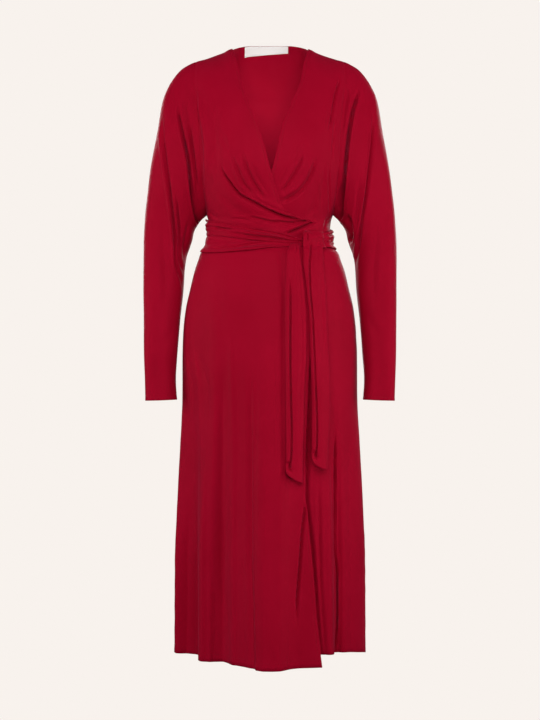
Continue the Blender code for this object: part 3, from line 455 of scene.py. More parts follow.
# ---------------------------------------------------------------- creases
# A crease is a soft trough along a line seen from the front, in millimetres: (points, depth, width
# on its plus side, width on its minus side, lip on the plus side, lip on the minus side, share of
# its length over which it starts, share over which it ends). The plus side is picture-right of a
# line that runs down, and above one that runs to the right. A negative depth makes a ridge.
CREASES = {
    "front_top": (
        # the long fold under the bust, sweeping to the knot, and the one that follows it
        (((-96, -240), (-93, -252), (-79, -274), (-58, -300), (-29, -316), (0, -331), (31, -342), (67, -349)), 8.0, 2.0, 3.8, 4.2, 0.0, 0.16, 0.12),
        (((-70, -262), (-54, -286), (-30, -303), (0, -318), (30, -331), (58, -340)), -2.6, 5.0, 4.0, 0.0, 0.0, 0.3, 0.2),
        (((0, -349), (20, -352), (37, -353.5), (60, -351), (77, -348), (93, -344)), 6.5, 2.0, 2.8, 1.8, 1.0, 0.3, 0.2),
        (((24, -376), (31, -374), (39, -371), (58, -363), (78, -354), (95, -347)), 8.5, 2.2, 2.2, 2.6, 2.0, 0.15, 0.2),
        (((40, -381), (58, -373), (78, -366), (96, -362)), -2.4, 5.0, 5.0, 0.0, 0.0, 0.3, 0.3),
        # gathers that spread over the bust
        (((-61, -214), (-54, -227), (-38, -265), (-25, -288), (-8, -311)), 4.6, 3.2, 3.0, 1.8, 1.2, 0.35, 0.15),
        (((-78, -220), (-69, -238), (-48, -284), (-29, -305)), 4.4, 3.2, 3.0, 1.4, 1.6, 0.35, 0.15),
        (((-94, -178), (-88, -200), (-78, -222)), 1.2, 4.5, 4.5, 0.5, 0.5, 0.5, 0.5),
        (((-41, -226), (-30, -256), (-14, -286), (2, -309)), 1.6, 4.0, 4.0, 0.8, 0.8, 0.5, 0.3),
        (((-110, -262), (-98, -292), (-74, -322), (-40, -341), (-4, -352)), 1.4, 7.0, 7.0, 0.6, 0.6, 0.5, 0.4),
        # folds that reach the sash
        (((-54, -343), (-30, -345), (-8, -350), (14, -355), (34, -361), (50, -366)), 4.2, 2.2, 2.8, 1.6, 0.8, 0.4, 0.3),
        (((-84, -344), (-62, -346), (-40, -349), (-22, -354)), 2.0, 2.6, 3.0, 0.9, 0.5, 0.4, 0.4),
        # the full cloth beside the armhole
        (((-140, -84), (-138, -112), (-134, -140), (-127, -172), (-123, -212), (-124, -256), (-125, -290)), -6.5, 8.0, 5.0, 0.0, 0.0, 0.3, 0.3),
        (((-116, -112), (-112, -150), (-106, -200), (-104, -250), (-106, -300)), 1.6, 7.0, 6.0, 0.0, 0.0, 0.4, 0.4),
        (((-108, -96), (-106, -130), (-104, -170), (-106, -214)), 1.1, 7.0, 7.0, 0.4, 0.4, 0.5, 0.5),
        (((-122, -322), (-112, -336), (-98, -346)), 1.6, 4.5, 4.5, 0.6, 0.6, 0.4, 0.3),
    ),
    "front_under": (
        (((63, -218), (61, -231), (44, -267), (23, -297)), 4.2, 2.8, 3.2, 1.6, 1.6, 0.3, 0.12),
        (((91, -226), (86, -246), (77, -269), (58, -295), (23, -317)), 6.5, 3.0, 5.0, 0.6, 3.0, 0.25, 0.10),
        (((68, -196), (52, -226), (38, -256)), 1.8, 4.0, 4.0, 0.8, 0.8, 0.5, 0.4),
        (((40, -232), (28, -262), (16, -294)), 1.3, 4.0, 4.0, 0.6, 0.6, 0.5, 0.3),
        (((137, -56), (136, -72), (130, -93), (119.5, -150), (113, -178)), 4.6, 2.2, 2.0, 0.8, 1.2, 0.25, 0.2),
        (((128, -146), (123.6, -195), (119, -236)), 3.0, 1.9, 2.2, 0.8, 0.8, 0.3, 0.4),
        (((115, -226), (115, -262), (117, -300), (118, -336)), 3.0, 1.9, 2.4, 0.8, 1.0, 0.4, 0.2),
        (((105, -226), (104, -262), (101, -300), (99, -338)), 1.6, 4.0, 4.0, 0.8, 0.8, 0.4, 0.3),
        (((93, -304), (84, -326), (70, -340)), 1.4, 4.5, 4.5, 0.5, 0.5, 0.5, 0.4),
        (((112, -110), (106, -150), (104, -190)), -1.8, 8.0, 8.0, 0.0, 0.0, 0.4, 0.4),
        (((116, -338), (112, -352), (104, -366)), 2.4, 3.0, 4.0, 0.8, 0.8, 0.3, 0.3),
        (((118, -324), (118, -348), (116, -370)), 4.0, 8.0, 9.0, 0.0, 0.0, 0.5, 0.1),
    ),
    "back": (
        (((-88, -158), (-84, -210), (-74, -268), (-60, -322), (-56, -344)), 3.6, 6.0, 4.4, 1.2, 1.6, 0.5, 0.12),
        (((-48, -232), (-42, -276), (-38, -318), (-34, -345)), 2.8, 4.4, 5.4, 1.2, 0.8, 0.5, 0.12),
        (((-14, -196), (-12, -250), (-14, -304), (-12, -344)), 2.2, 6.0, 5.0, 0.8, 1.0, 0.5, 0.12),
        (((20, -248), (18, -286), (14, -322), (12, -345)), 3.0, 4.0, 5.0, 1.2, 0.8, 0.5, 0.12),
        (((54, -176), (52, -232), (44, -290), (38, -345)), 3.8, 5.0, 6.4, 1.4, 1.2, 0.5, 0.12),
        (((92, -226), (84, -276), (72, -320), (68, -350)), 2.6, 4.4, 5.0, 1.0, 1.0, 0.5, 0.12),
        (((108, -300), (98, -326), (92, -352)), 2.0, 4.0, 4.0, 0.8, 0.8, 0.4, 0.15),
        (((-112, -284), (-98, -316), (-88, -342)), 2.0, 4.0, 4.0, 0.8, 0.8, 0.4, 0.15),
        (((-128, -130), (-112, -190), (-104, -250)), 2.0, 8.0, 6.0, 0.8, 0.8, 0.4, 0.5),
        (((130, -118), (118, -176), (108, -232)), 2.2, 6.0, 8.0, 0.8, 0.8, 0.4, 0.5),
        (((-96, -54), (-60, -66), (-10, -70), (44, -64)), 1.0, 9.0, 9.0, 0.3, 0.3, 0.5, 0.5),
    ),
    "sleeve_right_front": (
        (((-182, -108), (-179.6, -138), (-171.6, -179), (-161, -228), (-155, -281), (-151, -314), (-143, -350)), 8.0, 3.0, 2.2, 0.0, 1.8, 0.2, 0.0),
        (((-178, -145), (-171.6, -179), (-161, -228), (-155, -281), (-151, -314), (-144, -347)), 6.5, 1.8, 1.7, 0.0, 0.0, 0.3, 0.0),
        (((-158, -150), (-153, -195), (-147, -235), (-143.5, -270), (-145, -300)), 5.5, 2.2, 3.0, 0.6, 0.8, 0.25, 0.3),
        (((-164, -96), (-160, -140), (-154, -190), (-150, -240), (-148, -280)), 3.6, 7.0, 7.0, 0.0, 0.0, 0.3, 0.3),
        (((-212, -132), (-212.5, -170), (-206.7, -220), (-196, -302), (-188, -384), (-186, -430), (-176, -467), (-173, -500)), 8.5, 3.0, 2.6, 0.6, 2.8, 0.2, 0.2),
        (((-187, -285), (-181, -330), (-179, -370), (-179, -412), (-171, -455)), 6.5, 2.2, 2.8, 0.9, 0.9, 0.3, 0.2),
        (((-222, -150), (-232, -260), (-237, -380), (-237, -500)), -2.4, 8.0, 10.0, 0.0, 0.0, 0.3, 0.4),
        (((-196, -70), (-194, -110), (-192, -160)), 1.6, 7.0, 7.0, 0.5, 0.5, 0.4, 0.5),
        (((-214, -330), (-210, -400), (-206, -470), (-208, -540)), 1.8, 9.0, 6.0, 0.6, 0.8, 0.4, 0.4),
        (((-190, -540), (-200, -575), (-216, -600)), 1.2, 7.0, 7.0, 0.4, 0.4, 0.5, 0.5),
        (((-228, -600), (-216, -640), (-198, -668)), 0.9, 8.0, 8.0, 0.3, 0.3, 0.5, 0.5),
        (((-158, -335), (-163, -362), (-170, -398), (-174, -430)), 3.5, 4.0, 3.6, 0.6, 0.8, 0.3, 0.4),
    ),
    "sleeve_left_front": (
        (((177, -78), (173, -97), (162, -137), (156, -170), (150.5, -215), (146.5, -262), (142.5, -300), (138, -345)), 9.0, 2.0, 3.4, 2.2, 0.0, 0.15, 0.0),
        (((168, -112), (162, -137), (156, -170), (150.5, -215), (146.5, -262), (142.5, -300), (138, -345)), 7.5, 1.7, 1.9, 0.0, 0.0, 0.3, 0.0),
        (((151, -78), (151, -97), (143, -141), (136, -200)), 4.5, 3.6, 4.0, 1.4, 0.8, 0.25, 0.35),
        (((203.5, -118), (202.5, -162), (195.6, -236), (187, -302), (177, -368), (171, -421), (169, -446)), 8.5, 3.0, 2.2, 0.6, 2.8, 0.25, 0.2),
        (((141.5, -268), (140, -296), (139.5, -320), (140, -345)), 9.0, 4.6, 6.0, 0.0, 0.0, 0.35, 0.15),
        (((151, -330), (157.5, -350), (159.5, -372), (157, -392)), 13.0, 3.4, 5.0, 1.6, 0.6, 0.3, 0.2),
        (((176, -250), (174, -300), (170, -346), (166, -380)), 3.6, 5.0, 4.0, 0.8, 0.8, 0.4, 0.3),
        (((226, -170), (234, -270), (238, -380), (238, -500)), -2.2, 10.0, 8.0, 0.0, 0.0, 0.3, 0.4),
        (((198, -66), (196, -96), (190, -140)), 1.5, 7.0, 7.0, 0.5, 0.5, 0.4, 0.5),
        (((216, -320), (208, -392), (204, -462), (206, -530)), 1.6, 6.0, 9.0, 0.8, 0.6, 0.4, 0.4),
        (((192, -520), (204, -556), (222, -584)), 1.2, 7.0, 7.0, 0.4, 0.4, 0.5, 0.5),
        (((232, -612), (218, -644), (200, -664)), 0.9, 8.0, 8.0, 0.3, 0.3, 0.5, 0.5),
    ),
    "sleeve_right_back": (
        (((-170, -104), (-168, -160), (-160, -226), (-150, -300), (-143, -348)), 10.0, 8.0, 4.0, 0.0, 2.0, 0.2, 0.06),
        (((-206, -150), (-202, -230), (-192, -312), (-184, -396), (-176, -466)), 6.5, 8.0, 4.4, 0.6, 1.8, 0.3, 0.25),
        (((-182, -250), (-178, -312), (-174, -372), (-172, -420)), 4.0, 4.0, 5.0, 0.8, 0.8, 0.35, 0.3),
        (((-226, -300), (-222, -380), (-222, -450)), 2.0, 8.0, 8.0, 0.6, 0.6, 0.4, 0.4),
        (((-246, -404), (-228, -416), (-206, -420)), 1.6, 6.0, 6.0, 0.6, 0.6, 0.4, 0.4),
        (((-244, -446), (-226, -452), (-200, -446)), 1.4, 6.0, 6.0, 0.6, 0.6, 0.4, 0.4),
        (((-232, -560), (-214, -590), (-194, -606)), 1.2, 8.0, 8.0, 0.4, 0.4, 0.5, 0.5),
    ),
    "sleeve_left_back": (
        (((172, -92), (168, -150), (158, -220), (150, -292), (142, -338)), 11.0, 4.0, 8.0, 2.0, 0.0, 0.2, 0.06),
        (((208, -160), (203, -236), (194, -304), (182, -388), (176, -452)), 6.0, 4.4, 8.0, 1.8, 0.6, 0.3, 0.25),
        (((184, -232), (180, -300), (172, -366), (168, -410)), 4.4, 5.0, 4.0, 0.8, 0.8, 0.35, 0.3),
        (((228, -280), (226, -360), (220, -440)), 2.0, 8.0, 8.0, 0.6, 0.6, 0.4, 0.4),
        (((204, -410), (226, -408), (246, -396)), 1.6, 6.0, 6.0, 0.6, 0.6, 0.4, 0.4),
        (((198, -456), (222, -462), (244, -452)), 1.3, 6.0, 6.0, 0.6, 0.6, 0.4, 0.4),
        (((192, -600), (212, -586), (234, -556)), 1.2, 8.0, 8.0, 0.4, 0.4, 0.5, 0.5),
    ),
    "skirt_top": (
        (((-153, -585), (-148, -615), (-141, -642), (-135, -676), (-133.5, -740), (-132.5, -800), (-132, -929), (-131, -1203)), -6.0, 6.0, 13.0, 0.0, 0.0, 0.12, 0.0),
        (((-166, -596), (-161, -640), (-155, -683), (-156, -745)), -2.2, 4.0, 5.0, 0.0, 0.0, 0.3, 0.4),
        (((-143, -600), (-122, -668), (-120, -740), (-122, -800)), 1.8, 6.0, 4.0, 0.4, 0.0, 0.4, 0.5),
        (((-90, -620), (-92, -700), (-93, -793), (-94, -840), (-94, -965), (-92, -1060), (-88, -1120)), 4.6, 7.0, 8.0, 1.0, 0.8, 0.35, 0.3),
        (((-82, -530), (-76, -582), (-72, -673), (-70, -769), (-71, -925), (-70, -1203)), -3.6, 5.0, 9.0, 0.0, 0.0, 0.25, 0.0),
        (((-38, -600), (-36, -680), (-36, -760), (-36, -860), (-36, -998), (-33, -1100), (-31, -1203)), 3.4, 2.6, 5.0, 1.0, 1.0, 0.4, 0.0),
        (((-100, -440), (-96, -520), (-90, -600)), 0.9, 10.0, 10.0, 0.3, 0.3, 0.5, 0.5),
        (((-20, -420), (-14, -500), (-10, -600)), 0.6, 12.0, 12.0, 0.2, 0.2, 0.5, 0.5),
        (((6, -560), (10, -680), (8, -800), (12, -940)), 0.8, 10.0, 10.0, 0.3, 0.3, 0.4, 0.5),
        (((20, -412), (24, -470), (26, -540)), 1.2, 5.0, 5.0, 0.4, 0.4, 0.1, 0.6),
        (((67.5, -898), (64.5, -921), (61, -950), (57.6, -1001), (54, -1045), (51, -1094), (50, -1130)), 7.5, 2.0, 2.0, 1.4, 1.0, 0.06, 0.25),
        (((30, -440), (27, -500), (25.5, -560), (25, -640), (24, -760), (24, -846)), 2.6, 4.5, 4.5, 0.0, 0.4, 0.3, 0.15),
        (((-160, -900), (-164, -1000), (-166, -1203)), 2.4, 6.0, 8.0, 0.6, 0.6, 0.4, 0.0),
        (((-118, -1000), (-116, -1100), (-117, -1203)), -1.4, 5.0, 5.0, 0.0, 0.0, 0.4, 0.0),
        (((4, -1040), (2, -1120), (4, -1203)), -1.2, 8.0, 8.0, 0.0, 0.0, 0.5, 0.0),
    ),
    "skirt_under": (
        (((93, -830), (94.5, -904), (96, -1000), (98, -1060), (102, -1128), (108, -1203)), 3.6, 3.4, 3.4, 0.8, 0.8, 0.3, 0.0),
        (((127, -740), (127, -808), (127, -900), (127, -983), (131, -1032), (132, -1115), (126, -1203)), 8.0, 1.6, 2.0, 2.0, 1.6, 0.2, 0.0),
        (((78, -600), (75.5, -680), (73.5, -740), (71.5, -800), (70.5, -880), (73, -915), (77, -946), (83, -1001), (86.5, -1040), (92.5, -1120), (102, -1203)), 6.0, 3.4, 3.0, 1.0, 0.0, 0.1, 0.0),
        (((112, -800), (114, -900), (115, -1010), (116, -1203)), -2.2, 6.0, 6.0, 0.0, 0.0, 0.3, 0.0),
        (((152, -700), (156, -820), (158, -960), (160, -1203)), 2.0, 9.0, 9.0, 0.6, 0.6, 0.3, 0.0),
        (((146, -520), (150, -600), (148, -690)), 0.8, 9.0, 9.0, 0.3, 0.3, 0.5, 0.5),
        (((120, -430), (126, -500), (128, -600)), 0.9, 8.0, 8.0, 0.3, 0.3, 0.4, 0.5),
        (((122, -402), (112, -405.5), (98, -406)), 1.8, 2.6, 3.0, 0.8, 0.6, 0.3, 0.3),
        (((70, -1010), (76, -1100), (82, -1203)), 2.0, 6.0, 6.0, 0.6, 0.6, 0.4, 0.0),
    ),
    "skirt_back": (
        (((-136, -600), (-134, -760), (-136, -960), (-138, -1203)), 4.0, 8.0, 6.0, 0.8, 1.2, 0.3, 0.0),
        (((-84, -480), (-86, -640), (-90, -880), (-90, -1203)), 3.0, 6.0, 9.0, 1.2, 0.6, 0.4, 0.0),
        (((-40, -700), (-38, -860), (-42, -1203)), 3.6, 8.0, 6.0, 0.8, 1.2, 0.3, 0.0),
        (((-4, -420), (-2, -520), (2, -640)), 1.2, 8.0, 8.0, 0.4, 0.4, 0.4, 0.5),
        (((12, -760), (14, -900), (12, -1203)), 2.6, 6.0, 8.0, 1.0, 0.6, 0.4, 0.0),
        (((52, -560), (56, -720), (60, -940), (62, -1203)), 4.2, 6.0, 8.0, 1.2, 0.8, 0.3, 0.0),
        (((104, -640), (106, -800), (110, -1203)), 3.0, 8.0, 6.0, 0.8, 1.2, 0.3, 0.0),
        (((146, -520), (150, -700), (152, -930), (156, -1203)), 3.4, 7.0, 7.0, 0.8, 0.8, 0.4, 0.0),
        (((-60, -412), (-64, -470), (-70, -540)), 1.5, 5.0, 5.0, 0.5, 0.5, 0.1, 0.6),
        (((40, -412), (42, -462), (46, -530)), 1.4, 5.0, 5.0, 0.5, 0.5, 0.1, 0.6),
        (((84, -410), (90, -470), (96, -560)), 1.2, 6.0, 6.0, 0.4, 0.4, 0.1, 0.6),
    ),
    # round the waist, as (angle, height): the plus side is above
    "sash_upper": (
        (((-304, -376), (-285, -371), (-262, -366), (-225, -352), (-180, -349), (-135, -347), (-90, -345), (-57, -350.5), (-35, -358), (-15, -368), (4, -375.2), (24, -387), (31, -390.5)), 6.3, 2.2, 2.8, 2.0, 2.0, 0.03, 0.04),
        (((-57, -360.5), (-48, -362), (-40, -364), (-30, -366.5)), 5.6, 2.2, 2.2, 1.7, 1.4, 0.2, 0.3),
        (((-78, -356), (-64, -357), (-50, -360)), 2.9, 2.2, 2.2, 1.4, 1.1, 0.3, 0.3),
        (((-150, -356), (-120, -359), (-96, -361), (-78, -366), (-60, -369)), 4.0, 2.5, 3.0, 1.6, 1.4, 0.4, 0.35),
        (((-26, -376.5), (-15, -380), (-4, -383), (15, -388.3), (30, -392.5)), 6.3, 2.1, 2.5, 2.3, 1.7, 0.2, 0.04),
        (((-280, -378), (-250, -371), (-215, -362), (-170, -360), (-128, -365), (-100, -369)), 4.5, 2.8, 2.8, 1.7, 1.7, 0.2, 0.3),
        (((-40, -372), (-28, -375), (-14, -380.5)), 2.7, 2.2, 2.5, 1.4, 0.8, 0.4, 0.4),
        (((-240, -357), (-200, -355), (-176, -354)), 2.2, 2.8, 2.8, 0.9, 0.9, 0.4, 0.4),
        (((-298, -384), (-290, -381), (-280, -380)), 3.4, 2.8, 3.3, 0.9, 0.9, 0.1, 0.4),
    ),
    "sash_lower": (
        (((-74, -383), (-60, -382.5), (-46, -385), (-34, -389), (-20, -393)), 1.8, 2.5, 3.0, 1.4, 1.1, 0.4, 0.3),
        (((-70, -399), (-55, -401.5), (-42, -402.5), (-33, -402), (-17, -397), (-4, -394.5), (14, -396.5), (30, -395.5)), 5.6, 2.8, 3.9, 2.3, 1.7, 0.25, 0),
        (((-300, -393), (-262, -391), (-210, -391), (-150, -388), (-104, -387)), 4.0, 3.0, 3.0, 1.7, 1.7, 0.1, 0.3),
        (((-190, -398), (-150, -396), (-110, -391)), 2.5, 2.8, 2.8, 1.1, 0.9, 0.4, 0.4),
    ),
}


def crease_height(across, z, name, scale=1.0):
    """How far the creases of that name move each point of a net out of the cloth."""
    flat = np.stack(np.broadcast_arrays(across, z), -1).astype(float)
    total = np.zeros(flat.shape[:-1])
    share = np.linspace(0, 1, 45)
    for points, depth, w_plus, w_minus, lip_plus, lip_minus, starts, ends in CREASES[name]:
        line = by_length([(a * scale, b) for a, b in points])
        q = np.stack([line("across", share), line("z", share)], -1)
        reach = 3.4 * max(w_plus, w_minus)
        near = ((flat > q.min(0) - reach) & (flat < q.max(0) + reach)).all(-1)
        p = flat[near]
        if not len(p):
            continue
        a, ab = q[:-1], np.diff(q, axis=0)
        rel = p[:, None, :] - a
        t = np.clip((rel * ab).sum(-1) / (ab * ab).sum(-1), 0, 1)
        dist = np.linalg.norm(rel - t[..., None] * ab, axis=-1)
        best = dist.argmin(-1)
        rows = np.arange(len(p))
        d, t = dist[rows, best], t[rows, best]
        r, ab = rel[rows, best], ab[best]
        d *= np.sign(ab[:, 0] * r[:, 1] - ab[:, 1] * r[:, 0])
        along = (best + t) / len(a)
        taper = np.ones_like(along)
        if starts:
            taper *= smooth(along / starts)
        if ends:
            taper *= smooth((1 - along) / ends)
        wide = np.where(d > 0, w_plus, w_minus) * (0.75 + 0.25 * taper)
        power = 1.5 if depth > 0 else 2.0
        h = -depth * np.exp(-((np.abs(d) / wide) ** power))
        h = h + lip_plus * np.exp(-(((d - 1.9 * w_plus) / w_plus) ** 2))
        h = h + lip_minus * np.exp(-(((d + 1.9 * w_minus) / w_minus) ** 2))
        total[near] += h * taper
    return total


def ripple(a, b, seed, size, stretch=3.0):
    """A gentle uneven swell of the cloth, from -1 to 1, longer along b than across."""
    wave = np.random.RandomState(seed)
    total = 0.0
    for _ in range(7):
        turn, phase, scale = wave.uniform(-0.5, 0.5), wave.uniform(0, 2 * math.pi), wave.uniform(0.7, 1.7)
        total = total + np.sin(
            2 * math.pi * scale / size * (a * math.cos(turn) + b / stretch * math.sin(turn) * 2) + phase
            + 1.3 * np.sin(2 * math.pi * b / (size * stretch * 1.3) + phase * 1.7)
        )
    return total / 7


# ---------------------------------------------------------------- meshes
def unit(v):
    return v / np.maximum(np.linalg.norm(v, axis=-1, keepdims=True), 1e-9)


def run(p, axis, wrap=False):
    """Lengths along a net's rows (axis 1) or columns (axis 0), from its first line."""
    step = np.linalg.norm(np.diff(p, axis=axis), axis=-1)
    start = np.zeros_like(step[:, :1] if axis == 1 else step[:1])
    return np.concatenate([start, np.cumsum(step, axis=axis)], axis=axis)


def mesh_from(name, verts, quads, uv=None, mats=()):
    """A smooth-shaded mesh object from numpy arrays; uv has one row for each vertex."""
    mesh = bpy.data.meshes.new(name)
    quads = np.asarray(quads, np.int32)
    mesh.vertices.add(len(verts))
    mesh.vertices.foreach_set("co", (np.asarray(verts) * MM).astype(np.float32).ravel())
    mesh.loops.add(quads.size)
    mesh.loops.foreach_set("vertex_index", quads.ravel())
    mesh.polygons.add(len(quads))
    mesh.polygons.foreach_set("loop_start", np.arange(0, quads.size, 4, dtype=np.int32))
    mesh.polygons.foreach_set("loop_total", np.full(len(quads), 4, np.int32))
    if uv is not None:
        layer = mesh.uv_layers.new(name="cloth")
        layer.data.foreach_set("uv", np.asarray(uv, np.float32)[quads.ravel()].ravel())
    mesh.update(calc_edges=True)
    mesh.validate()
    mesh.shade_smooth()
    mesh.set_sharp_from_angle(angle=math.radians(62))
    obj = bpy.data.objects.new(name, mesh)
    bpy.context.scene.collection.objects.link(obj)
    for m in mats:
        mesh.materials.append(m)
    return obj


def net_quads(rows, cols, wrap, at=0, flip=False):
    i, j = np.meshgrid(np.arange(rows - 1), np.arange(cols if wrap else cols - 1), indexing="ij")
    k = (j + 1) % cols
    q = np.stack([i * cols + j, i * cols + k, (i + 1) * cols + k, (i + 1) * cols + j], -1).reshape(-1, 4) + at
    return q[:, ::-1] if flip else q


def shell(name, outer, out, mat, wall=1.3, wrap=False, seam=(), tuck=0.12):
    """One layer of cloth: its outer face, its inner face and rounded rims between them."""
    rows, cols = outer.shape[:2]
    inner = outer - out * wall
    # the rims: a line goes round outside, between the outer and inner edge lines
    mid = (outer + inner) / 2

    def push(edge, inside):
        return unit(edge - inside)

    count = rows * cols
    verts = [outer.reshape(-1, 3), inner.reshape(-1, 3)]
    quads = [net_quads(rows, cols, wrap), net_quads(rows, cols, wrap, count, True)]
    uvo = np.stack([run(outer, 1), run(outer, 0)], -1)
    uvs = [uvo.reshape(-1, 2), uvo.reshape(-1, 2)]
    at = 2 * count
    ids = np.arange(count).reshape(rows, cols)
    lines = [("top", ids[0], mid[0], push(mid[0], mid[1]), uvo[0]), ("bottom", ids[-1], mid[-1], push(mid[-1], mid[-2]), uvo[-1])]
    if not wrap:
        lines += [("left", ids[:, 0], mid[:, 0], push(mid[:, 0], mid[:, 1]), uvo[:, 0]), ("right", ids[:, -1], mid[:, -1], push(mid[:, -1], mid[:, -2]), uvo[:, -1])]
    for edge, line, centre, way, uv in lines:
        bulge = tuck if edge in seam else 0.45 * wall
        verts.append(centre + way * bulge)
        uvs.append(uv)
        r = at + np.arange(len(line))
        at += len(line)
        n = len(line) if (wrap and edge in ("top", "bottom")) else len(line) - 1
        j = np.arange(n)
        k = (j + 1) % len(line)
        a = np.stack([line[k], line[j], r[j], r[k]], -1)
        b = np.stack([r[k], r[j], line[j] + count, line[k] + count], -1)
        if edge in ("bottom", "left"):
            a, b = a[:, ::-1], b[:, ::-1]
        quads += [a, b]
    verts, quads = np.concatenate(verts), np.concatenate(quads)
    # turned so that the outer face looks outward
    q = quads[: (rows - 1) * (cols if wrap else cols - 1)]
    n = np.cross(verts[q[:, 1]] - verts[q[:, 0]], verts[q[:, 3]] - verts[q[:, 0]])
    if (n * out.reshape(-1, 3)[q[:, 0]]).sum() < 0:
        quads = quads[:, ::-1]
    return mesh_from(name, verts, quads, np.concatenate(uvs) * MM, [mat])


def at_inset(p, n, edge, inset, start=0.0, end=1.0):
    """Points and outward directions on a net along a line that keeps inset from one of its edges."""
    if edge == "bottom":
        p, n = p[::-1], n[::-1]
    elif edge == "left":
        p, n = p.transpose(1, 0, 2), n.transpose(1, 0, 2)
    elif edge == "right":
        p, n = p[:, ::-1].transpose(1, 0, 2), n[:, ::-1].transpose(1, 0, 2)
    length = run(p, 0)
    cols = p.shape[1]
    picked = []
    for j in range(int(start * (cols - 1)), int(end * (cols - 1)) + 1):
        i = int(np.clip(np.searchsorted(length[:, j], inset) - 1, 0, p.shape[0] - 2))
        t = (inset - length[i, j]) / max(length[i + 1, j] - length[i, j], 1e-6)
        t = min(max(t, 0.0), 1.0)
        picked.append((p[i, j] * (1 - t) + p[i + 1, j] * t, n[i, j] * (1 - t) + n[i + 1, j] * t))
    return np.array([a for a, _ in picked]), unit(np.array([b for _, b in picked]))


stitches = {"red": [], "white": []}


def stitch_line(points, out, colour="red", length=2.3, gap=0.9, radius=0.22, closed=False):
    """A row of short sewn stitches along a line on the cloth, each a small rounded grain."""
    if closed:
        points, out = np.concatenate([points, points[:1]]), np.concatenate([out, out[:1]])
    step = np.linalg.norm(np.diff(points, axis=0), axis=-1)
    s = np.concatenate([[0], np.cumsum(step)])
    pitch = length + gap
    for k in range(int(s[-1] / pitch)):
        a, b = k * pitch + gap / 2, k * pitch + gap / 2 + length
        pa, pb = (np.array([np.interp(x, s, points[:, i]) for i in range(3)]) for x in (a, b))
        n = unit(np.array([np.interp((a + b) / 2, s, out[:, i]) for i in range(3)]))
        stitches[colour].append((pa, pb, n, radius))


def build_stitches(name, colour, mat):
    """All stitches of one thread as one mesh: four-sided grains with pointed ends let into the cloth."""
    verts, quads = [], []
    for pa, pb, n, radius in stitches[colour]:
        along = unit(pb - pa)
        side = unit(np.cross(along, n))
        at = len(verts)
        for t, r, lift in ((0.0, 0.35, -0.5), (0.2, 1.0, 0.25), (0.8, 1.0, 0.25), (1.0, 0.35, -0.5)):
            c = pa + (pb - pa) * t + n * radius * lift
            for k in range(5):
                a = 2 * math.pi * k / 5
                verts.append(c + (side * math.cos(a) + n * math.sin(a) * 0.8) * radius * r)
        for i in range(3):
            for k in range(5):
                m = (k + 1) % 5
                quads.append((at + i * 5 + k, at + i * 5 + m, at + (i + 1) * 5 + m, at + (i + 1) * 5 + k))
    return mesh_from(name, np.array(verts), np.array(quads)[:, ::-1], None, [mat])


# ---------------------------------------------------------------- materials
def node(tree, kind, at, **values):
    made = tree.nodes.new(kind)
    made.location = at
    for key, value in values.items():
        if key in made.inputs:
            made.inputs[key].default_value = value
        else:
            setattr(made, key, value)
    return made


def math_node(tree, operation, a, b=None, at=(0, 0)):
    made = tree.nodes.new("ShaderNodeMath")
    made.operation, made.location = operation, at
    for i, x in enumerate((a, b)):
        if x is None:
            continue
        if isinstance(x, (int, float)):
            made.inputs[i].default_value = x
        else:
            tree.links.new(x, made.inputs[i])
    return made.outputs[0]


